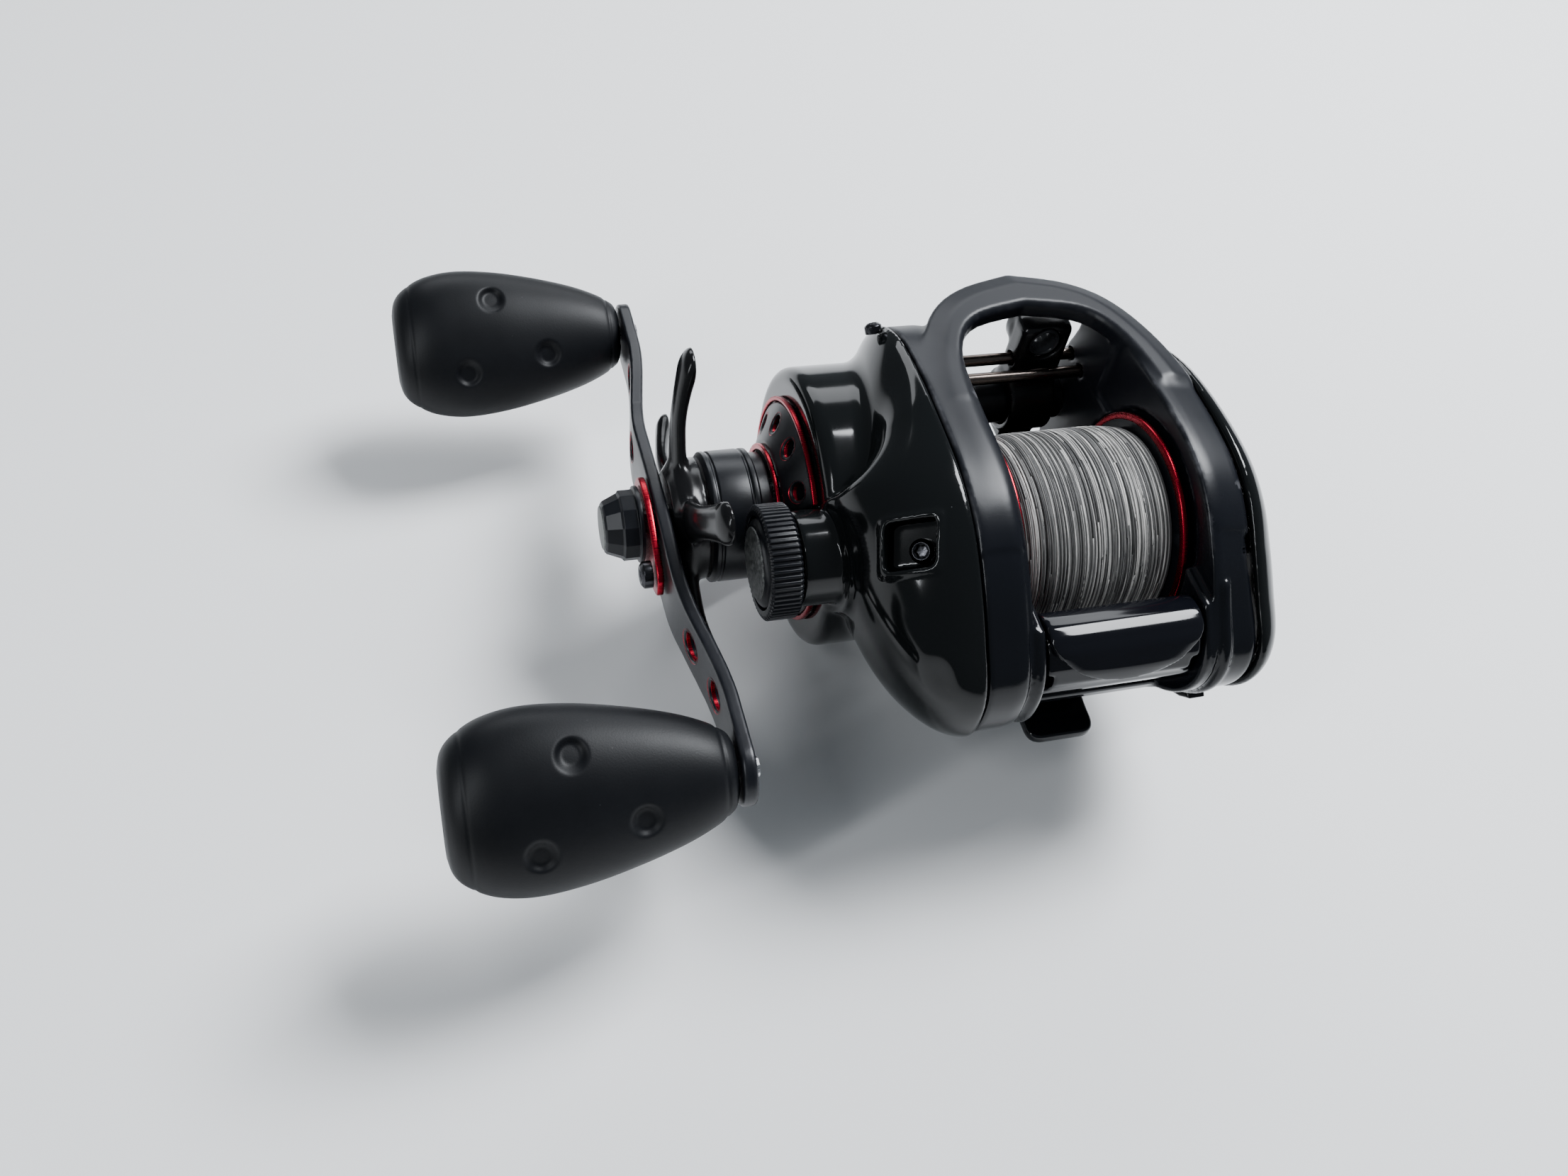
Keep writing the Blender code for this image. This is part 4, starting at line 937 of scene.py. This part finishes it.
surface("worm_guard_tube", guard_field, (-12.2, 25.5, -6), (12.2, 33.5, 2), 0.24,
    (BLACK, "frame", "satin_black", "worm_guard"), tuple(WORM))
turned("worm_screw", [(-18.6, 0), (-18.6, 1.3), (-11.8, 1.3), *((x, 2.7) for x in
    np.arange(-11.8, 11.81, 0.2)), (11.8, 1.3), (14.2, 1.3), (14.2, 0)],
    (STEEL, "worm", "steel", "worm_shaft"), 72, 0, crossed_groove, axis=WORM_AXIS)


# ---- thumb bar
BAR_SECTION = [
    (-19.2, 7.5), (-21, 7.5), (-23, 7.1), (-24.9, 6.1), (-26.9, 3.4), (-27.9, 0), (-27.2, -3),
    (-25, -6), (-20.4, -6), (-19.2, -1.5), (-18.9, 3),
]


def soft_polygon(points, a, b, bend):
    """A polygon whose outer corners are rounded to the bend radius."""
    middle_a = sum(p[0] for p in points) / len(points)
    middle_b = sum(p[1] for p in points) / len(points)
    reach = sum(hypot(p[0] - middle_a, p[1] - middle_b) for p in points) / len(points)
    keep = 1 - bend / reach
    small = [(middle_a + (p[0] - middle_a) * keep, middle_b + (p[1] - middle_b) * keep) for p in points]
    return polygon(small, a, b) - bend


def thumb_bar_field(x, y, z):
    section = soft_polygon(BAR_SECTION, y, z, 2.6)
    crease = 1.5 + 5 * (np.abs(x) / 11.4) ** 2.2
    above = ease(z - crease, -0.3, 0.3)
    puff = 0.55 * (1 - np.exp(-np.maximum(z - crease, 0) / 1.6))
    under = 1.25 * (1 - above) * (1 - 0.6 * ease(-z, 0, 5))
    skin = section + under * ease(-y, 20, 22) - puff * ease(-y, 20, 23)
    shape = meet(skin, np.abs(x) - 11.75, 0.8)
    notch = block(np.abs(x), y, z, (10.6, -34, -0.6), (13, -24, 2.2), 0.6)
    return meet(shape, -notch, 0.5)


surface("thumb_bar_pad", thumb_bar_field, (-11.8, -29, -6.6), (11.8, -18.5, 8.4), 0.26,
    (BAR, "thumb_bar", "gloss_black", "thumb_bar"), (0, -23, 0))


# ---- star drag, sleeve and cast control
STAR_REACH = (4, 8, 12, 16, 20, 24, 28)
STAR_X = (-53, -53.2, -53.1, -52.8, -52, -50.9, -50.2)
STAR_DEEP = (1.35, 1.3, 1.2, 1.15, 1.3, 1.6, 1.6)
STAR_WIDE = (3.8, 3.4, 2.9, 2.5, 2.6, 3.1, 3.2)
DRIVE_HOLE = 3.3


def star_field(x, y, z):
    shape = around(x, y, z, DRIVE_AXIS, [
        (-55.4, 0), (-55.4, 7.6), (-54.2, 8.8), (-52.4, 9.4), (-50.3, 9.4), (-50.3, 0)])
    dy, dz = y - DRIVE[1], z - DRIVE[2]
    for arm in range(5):
        angle = radians(60) + TAU * arm / 5
        out = dy * cos(angle) + dz * sin(angle)
        side = dz * cos(angle) - dy * sin(angle)
        share = np.interp(out, STAR_REACH, np.arange(7))
        wide, deep, lean = (curve_at(share, values) for values in (STAR_WIDE, STAR_DEEP, STAR_X))
        past = np.maximum(out - 23.2, 0) / 3.3
        bulk = np.sqrt((side / wide) ** 2 + ((x - lean) / deep) ** 2 + past ** 2)
        paddle = np.maximum((bulk - 1) * deep, 4 - out)
        shape = join(shape, paddle, 1.4)
    shape = meet(shape, x + 50.25, 0.3)
    return meet(shape, DRIVE_HOLE - np.hypot(dy, dz), 0.3)


surface("star_wheel", star_field, (-56, -12, -37), (-48.6, 44, 19), 0.34,
    (STAR, "star", "gloss_black", "star_drag"), (-53, *DRIVE_AXIS))


def grooved(low, high, radius, grooves):
    """A straight stretch of profile with narrow ring grooves."""
    half, floor_half, depth = 0.28, 0.16, 0.28
    points = [(low, radius)]
    for spot in grooves:
        points += [(spot - half, radius), (spot - floor_half, radius - depth),
                   (spot + floor_half, radius - depth), (spot + half, radius)]
    return points + [(high, radius)]


turned("drag_sleeve_body", [(-50, 3.3), (-50, 9.4)] + grooved(-49.5, -42.5, 10.1, (-48.6, -43.5)) +
    [(-42.2, 9.3), (-40.5, 9.3), (-40.5, 3.3)], (BLACK, "handle", "satin_black", "drag_sleeve"), 160, 0.12,
    sharp=40, axis=DRIVE_AXIS)
turned("cast_cap", [(-46.2, 0), (-46.2, 5.5), (-45.9, 6.1), (-45.5, 6.5), (-41.2, 6.5), (-41.2, 2.6),
    (-44, 2.6), (-44, 0)], (BLACK, "cast_control", "satin_black", "cast_control_cap"), 128, 0.15, sharp=40)
turned("cast_cap_face", [(-46.45, 0), (-46.45, 5.2), (-46.1, 5.3), (-46.1, 0)],
    (WORN_GREY, "cast_control", "satin_black"), 96, 0.15)


def ribbed(x, radius, angle):
    """Broad grip ribs, only on the outer skin."""
    if radius < 7.5:
        return radius
    wave = cos(angle * 60)
    return radius - 0.34 * (0.5 - 0.5 * max(min(wave * 2.2, 1), -1))


turned("cast_grip", [(-45.8, 6.8), (-45.8, 7.9), (-45.5, 8.36), (-41.6, 8.36), (-41.2, 8), (-41.2, 6.8)],
    (BLACK, "cast_control", "satin_black", "cast_control_grip"), 720, 0.12, ribbed)


# ---- handle
LEAN = cos(HANDLE_TILT)
RISE = sin(HANDLE_TILT)


def in_handle(y, z):
    """Reach along the handle from its middle, and rise across it."""
    dy, dz = y - DRIVE[1], z - DRIVE[2]
    return dy * LEAN + dz * RISE, dz * LEAN - dy * RISE


def handle_point(reach):
    return DRIVE[1] + reach * LEAN, DRIVE[2] + reach * RISE


def arm_x(reach):
    """The arm's outer face: flat over the hub, then eased in towards the knobs."""
    return -57.9 + 3 * ease(np.abs(reach), 14, 38)


def arm_face(y, z):
    return float(arm_x(in_handle(y, z)[0]))


ARM_HOLES = (-33.6, -24.6, 17, 33.6)
ARM_HOLE_R = 2.2


def arm_field(x, y, z):
    reach, rise = in_handle(y, z)
    half = 5 + 1.4 * np.maximum(1 - (reach / 22) ** 2, 0)
    past = np.maximum(np.abs(reach) - HANDLE_HALF, 0)
    plan = np.where(past > 0, np.hypot(past, rise) - 5, np.abs(rise) - half)
    shape = meet(plan, np.abs(x - arm_x(reach) - 1) - 1, 0.55)
    for spot in ARM_HOLES:
        shape = meet(shape, ARM_HOLE_R - np.hypot(reach - spot, rise), 0.2)
    for side in (-1, 1):
        shape = np.maximum(shape, 1.75 - np.hypot(reach - side * HANDLE_HALF, rise))
    return np.maximum(shape, 2.6 - np.hypot(reach, rise))


surface("arm_blade", arm_field, (-58.5, -35, -22), (-52, 69, 3.5), 0.32,
    (ARM, "handle", "satin_black", "handle_arm"), (-56, *DRIVE_AXIS))
rim_rings("arm_hole_chamfers", [handle_point(spot) for spot in ARM_HOLES], ARM_HOLE_R, arm_face, "handle")

KEEPER = Outline(((7, 0), (4.6, 5.4), (0, 6.6), (-6, 5.2), (-12.4, 2.4), (-13.4, 0),
                  (-12.4, -2.4), (-6, -5.2), (0, -6.6), (4.6, -5.4)), (-2.5, 0))


def keeper_field(x, y, z):
    reach, rise = in_handle(y, z)
    shape = meet(KEEPER.distance(reach, rise), slab(x, -59.2, -58.2), 0.25)
    return np.maximum(shape, 2.6 - np.hypot(reach, rise))


surface("keeper_plate", keeper_field, (-59.3, 2, -17), (-58, 25, -1), 0.2,
    (RED, "handle", "red_metal", "handle_keeper"), (-58.7, *DRIVE_AXIS))


def twelve_flats(x, radius, angle):
    if radius < 3 or x > -60.2:
        return radius
    step = TAU / 12
    return radius * cos(step / 2) / cos((angle + step / 2) % step - step / 2)


turned("nut_body", [(-65.2, 0), (-65.2, 3.7), (-64.9, 4.05), (-62.7, 5), (-62.4, 5.4), (-60.3, 5.4),
    (-60.1, 5.9), (-59.5, 5.9), (-59.5, 2.6), (-62.9, 2.6), (-62.9, 0)],
    (BLACK, "handle", "gloss_black", "handle_nut"), 144, 0.08, twelve_flats, 25, DRIVE_AXIS)
turned("nut_end_face", [(-65.4, 0), (-65.4, 3.3), (-65.1, 3.45), (-65.1, 0)],
    (NUT_END, "handle", "gloss_black"), 96, 0.1, axis=DRIVE_AXIS)
turned("keeper_screw", [(-60.4, 0), (-60.4, 0.75), (-61.1, 0.85), (-61.3, 1.4), (-60.8, 2.05), (-59.5, 2.05),
    (-59.5, 0)], (SCREW_STEEL, "handle", "gloss_black", "nut_lock_screw"), 48, 0.1, hex_socket, 30,
    handle_point(-10.3))

KNOB_X = (-55.2, -55.6, -56.2, -58.4, -62.5, -68.5, -75.5, -82, -87, -90.4, -92, -92.6)
KNOB_WIDE = (4, 4.9, 5.5, 6.9, 8.6, 10.3, 11.7, 12.2, 11.4, 9.6, 7.8, 5.6)
KNOB_THIN = (3.6, 4.4, 5, 5.8, 6.5, 7.2, 7.8, 7.8, 7.4, 6.2, 4.8, 3.4)
KNOB_TURN = radians(40)
KNOB_BORE_R = 1.72
KNOB_BORE_END = -86.8
DIMPLES = ((-21.2, 6.2), (-12.8, -3.3), (-26.1, -5.6))


def knob(name, body, node, centre):
    """A flattened pear-shaped paddle with a bore, and three dimples on each broad face."""
    steps, rows = 240, 170
    reach = np.concatenate([[0], np.cumsum(np.hypot(np.diff(KNOB_X), np.diff(KNOB_WIDE)))])
    share = np.interp(np.linspace(0, reach[-1], rows), reach, np.arange(len(reach)))
    x, wide, thin = (curve_at(share, values)[:, None] for values in (KNOB_X, KNOB_WIDE, KNOB_THIN))
    for seam, depth in ((-57, 0.16), (-89.6, 0.1)):
        mark = depth * np.exp(-((x - seam) / 0.22) ** 2)
        wide = wide - mark
        thin = thin - mark
    turn = np.linspace(0, TAU, steps, endpoint=False)
    a = wide * np.cos(turn)
    b = thin * np.sin(turn)
    sink = 0
    for dx, across in DIMPLES:
        away = np.hypot(x - (KNOB_X[0] + dx), a - across)
        sink = np.maximum(sink, 0.85 * (1 - ease(away, 1.1, 2.35)))
    b = b - np.sign(b) * sink * (np.abs(np.sin(turn)) > 0.35)
    long_y, long_z = cos(KNOB_TURN), sin(KNOB_TURN)
    y = centre[0] + a * long_y - b * long_z
    skin = np.stack([np.broadcast_to(x, a.shape), y, centre[1] + a * long_z + b * long_y], 2)
    y = centre[0] + KNOB_BORE_R * np.cos(turn + KNOB_TURN)
    z = centre[1] + KNOB_BORE_R * np.sin(turn + KNOB_TURN)
    hole = [np.stack([np.full(steps, depth), y, z], 1) for depth in (KNOB_BORE_END, KNOB_X[0])]
    verts = np.concatenate([*hole, *skin, [[KNOB_BORE_END, *centre], [KNOB_X[-1] - 0.05, *centre]]])
    rows += len(hole)
    faces = loop_faces(0, rows, steps)
    bottom, tip = len(verts) - 2, len(verts) - 1
    last = (rows - 1) * steps
    for step in range(steps):
        after = (step + 1) % steps
        faces += [(bottom, after, step), (last + step, last + after, tip)]
    place(name, verts, faces, (KNOB, body, "knob_black", node), (-74, *centre))


knob("front_paddle", "front_knob", "knob_front", (FRONT_KNOB[1], FRONT_KNOB[2]))
knob("rear_paddle", "rear_knob", "knob_rear", (REAR_KNOB[1], REAR_KNOB[2]))


# ---- palm-side controls
def fine_grip(x, radius, angle):
    if radius < 8.2 or x > 30:
        return radius
    return radius - 0.16 * (0.5 + 0.5 * cos(angle * 60))


turned("brake_dial_cap", [(28.7, 0), (28.7, 8.6), (29.7, 8.6), (30.1, 8.2), (30.6, 7.4), (30.6, 5.6),
    (30.3, 5.3), (30.3, 2.4), (30.6, 2.1), (30.6, 0)], (BLACK, "brake_dial", "satin_black", "brake_dial"),
    480, 0.1, fine_grip, 40)


# Twenty raised tick marks around the dial's face, every fifth one longer.
verts, faces = [], []
for mark in range(20):
    angle = TAU * mark / 20
    inner = 5.75 if mark % 5 == 0 else 6.25
    out = np.array([cos(angle), sin(angle)])
    side = np.array([-out[1], out[0]])
    base = len(verts)
    for x in (30.5, 30.68):
        for reach, shift in ((inner, -0.12), (7.1, -0.12), (7.1, 0.12), (inner, 0.12)):
            verts.append((x, *(out * reach + side * shift)))
    faces += loop_faces(base, 2, 4)
    faces += [range(base, base + 4), range(base + 4, base + 8)]
place("brake_dial_marks", verts, faces, (WORN_PAD, "brake_dial", "satin_black"), (30.6, 0, 0), 30)

LEVER = [(-12.6, -20), (-17.8, -17.4), (-22, -14.2), (-24, -12.2), (-25, -12.8), (-23.2, -14.9),
         (-18.4, -18.6), (-13.4, -21.2), (-11.6, -21.2), (-11.2, -20.5)]


def lever_field(x, y, z):
    return meet(polygon(LEVER, y, z) - 0.02, slab(x, 16.8, 19.8), 0.5)


surface("palm_lever", lever_field, (16.8, -25.5, -21.6), (19.8, -11, -12), 0.2,
    (STAR, "palm_lever", "gloss_black", "palm_release_lever"), (18, -12.6, -20.8))


# ---- nodes shown as they were packed
PLAIN = {
    BRASS: ("main_gear", "pinion_gear", "worm_drive_gear", "worm_gear", "drive_bearing"),
    STEEL: ("drive_shaft", "spool_shaft", "ratchet_wheel", "drag_pressure_plate", "drag_spring_washer",
            "one_way_bearing", "one_way_sleeve", "spool_bearing_gear_side", "spool_bearing_palm_side",
            "clutch_yoke", "clutch_cam", "guide_pawl", "knob_spindle_front", "knob_spindle_rear",
            "yoke_post_top", "yoke_post_bottom"),
    CARBON: ("drag_washer_inner", "drag_washer_outer"),
    ALUMINIUM: ("brake_rotor",),
    MAGNET: ("brake_magnets",),
}
for material, names in PLAIN.items():
    for name in names:
        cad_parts[name].data.materials.clear()
        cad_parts[name].data.materials.append(material)


# ---- floor, light and camera
REEL_CENTRE = Vector((-0.02, -0.01, 0.02))


def lamp(name, start, width, height, power, tint):
    """A soft rectangle of light aimed at the reel."""
    data = bpy.data.lights.new(name, "AREA")
    data.shape = "RECTANGLE"
    data.size = width
    data.size_y = height
    data.energy = power
    data.color = tint
    obj = added(name, data)
    obj.location = start
    obj.rotation_euler = (REEL_CENTRE - Vector(start)).to_track_quat("-Z", "Y").to_euler()


level = CAD_LOW[2] - 0.0004
mesh = bpy.data.meshes.new("floor")
mesh.from_pydata([(-3, -3, level), (3, -3, level), (3, 3, level), (-3, 3, level)], [], [(0, 1, 2, 3)])
mesh.materials.append(made("floor", lambda tree: {
    "Base Color": (0.86, 0.86, 0.86, 1), "Roughness": 0.9, "Specular IOR Level": 0.1}))
added("floor", mesh)

lamp("overhead", (0.35, 0.17, 0.6), 0.28, 0.34, 11.5, (0.93, 0.96, 1))
lamp("left_strip", (-0.62, -0.25, 0.5), 0.05, 0.55, 2.4, (0.92, 0.96, 1))
lamp("back_sheet", (0.1, 0.8, 0.5), 0.9, 0.3, 4, (0.93, 0.96, 1))
world = bpy.data.worlds.new("studio")
world.use_nodes = True
sky = world.node_tree.nodes["Background"]
sky.inputs["Color"].default_value = (0.82, 0.91, 1, 1)
sky.inputs["Strength"].default_value = 0.21
bpy.context.scene.world = world

data = bpy.data.cameras.new("camera")
data.sensor_fit = "HORIZONTAL"
data.sensor_width = 36
data.lens = 30.19
data.clip_start = 0.005
view = added("camera", data)
right = Vector((0.96325728, -0.23698249, 0.12639109))
up = Vector((0.11566244, 0.79073534, 0.60113212))
back = Vector((-0.24239969, -0.56442619, 0.78909155))
turn = Matrix((right, up, back)).transposed().to_4x4()
view.matrix_world = Matrix.Translation((-0.087945, -0.116206, 0.169628)) @ turn
bpy.context.scene.camera = view
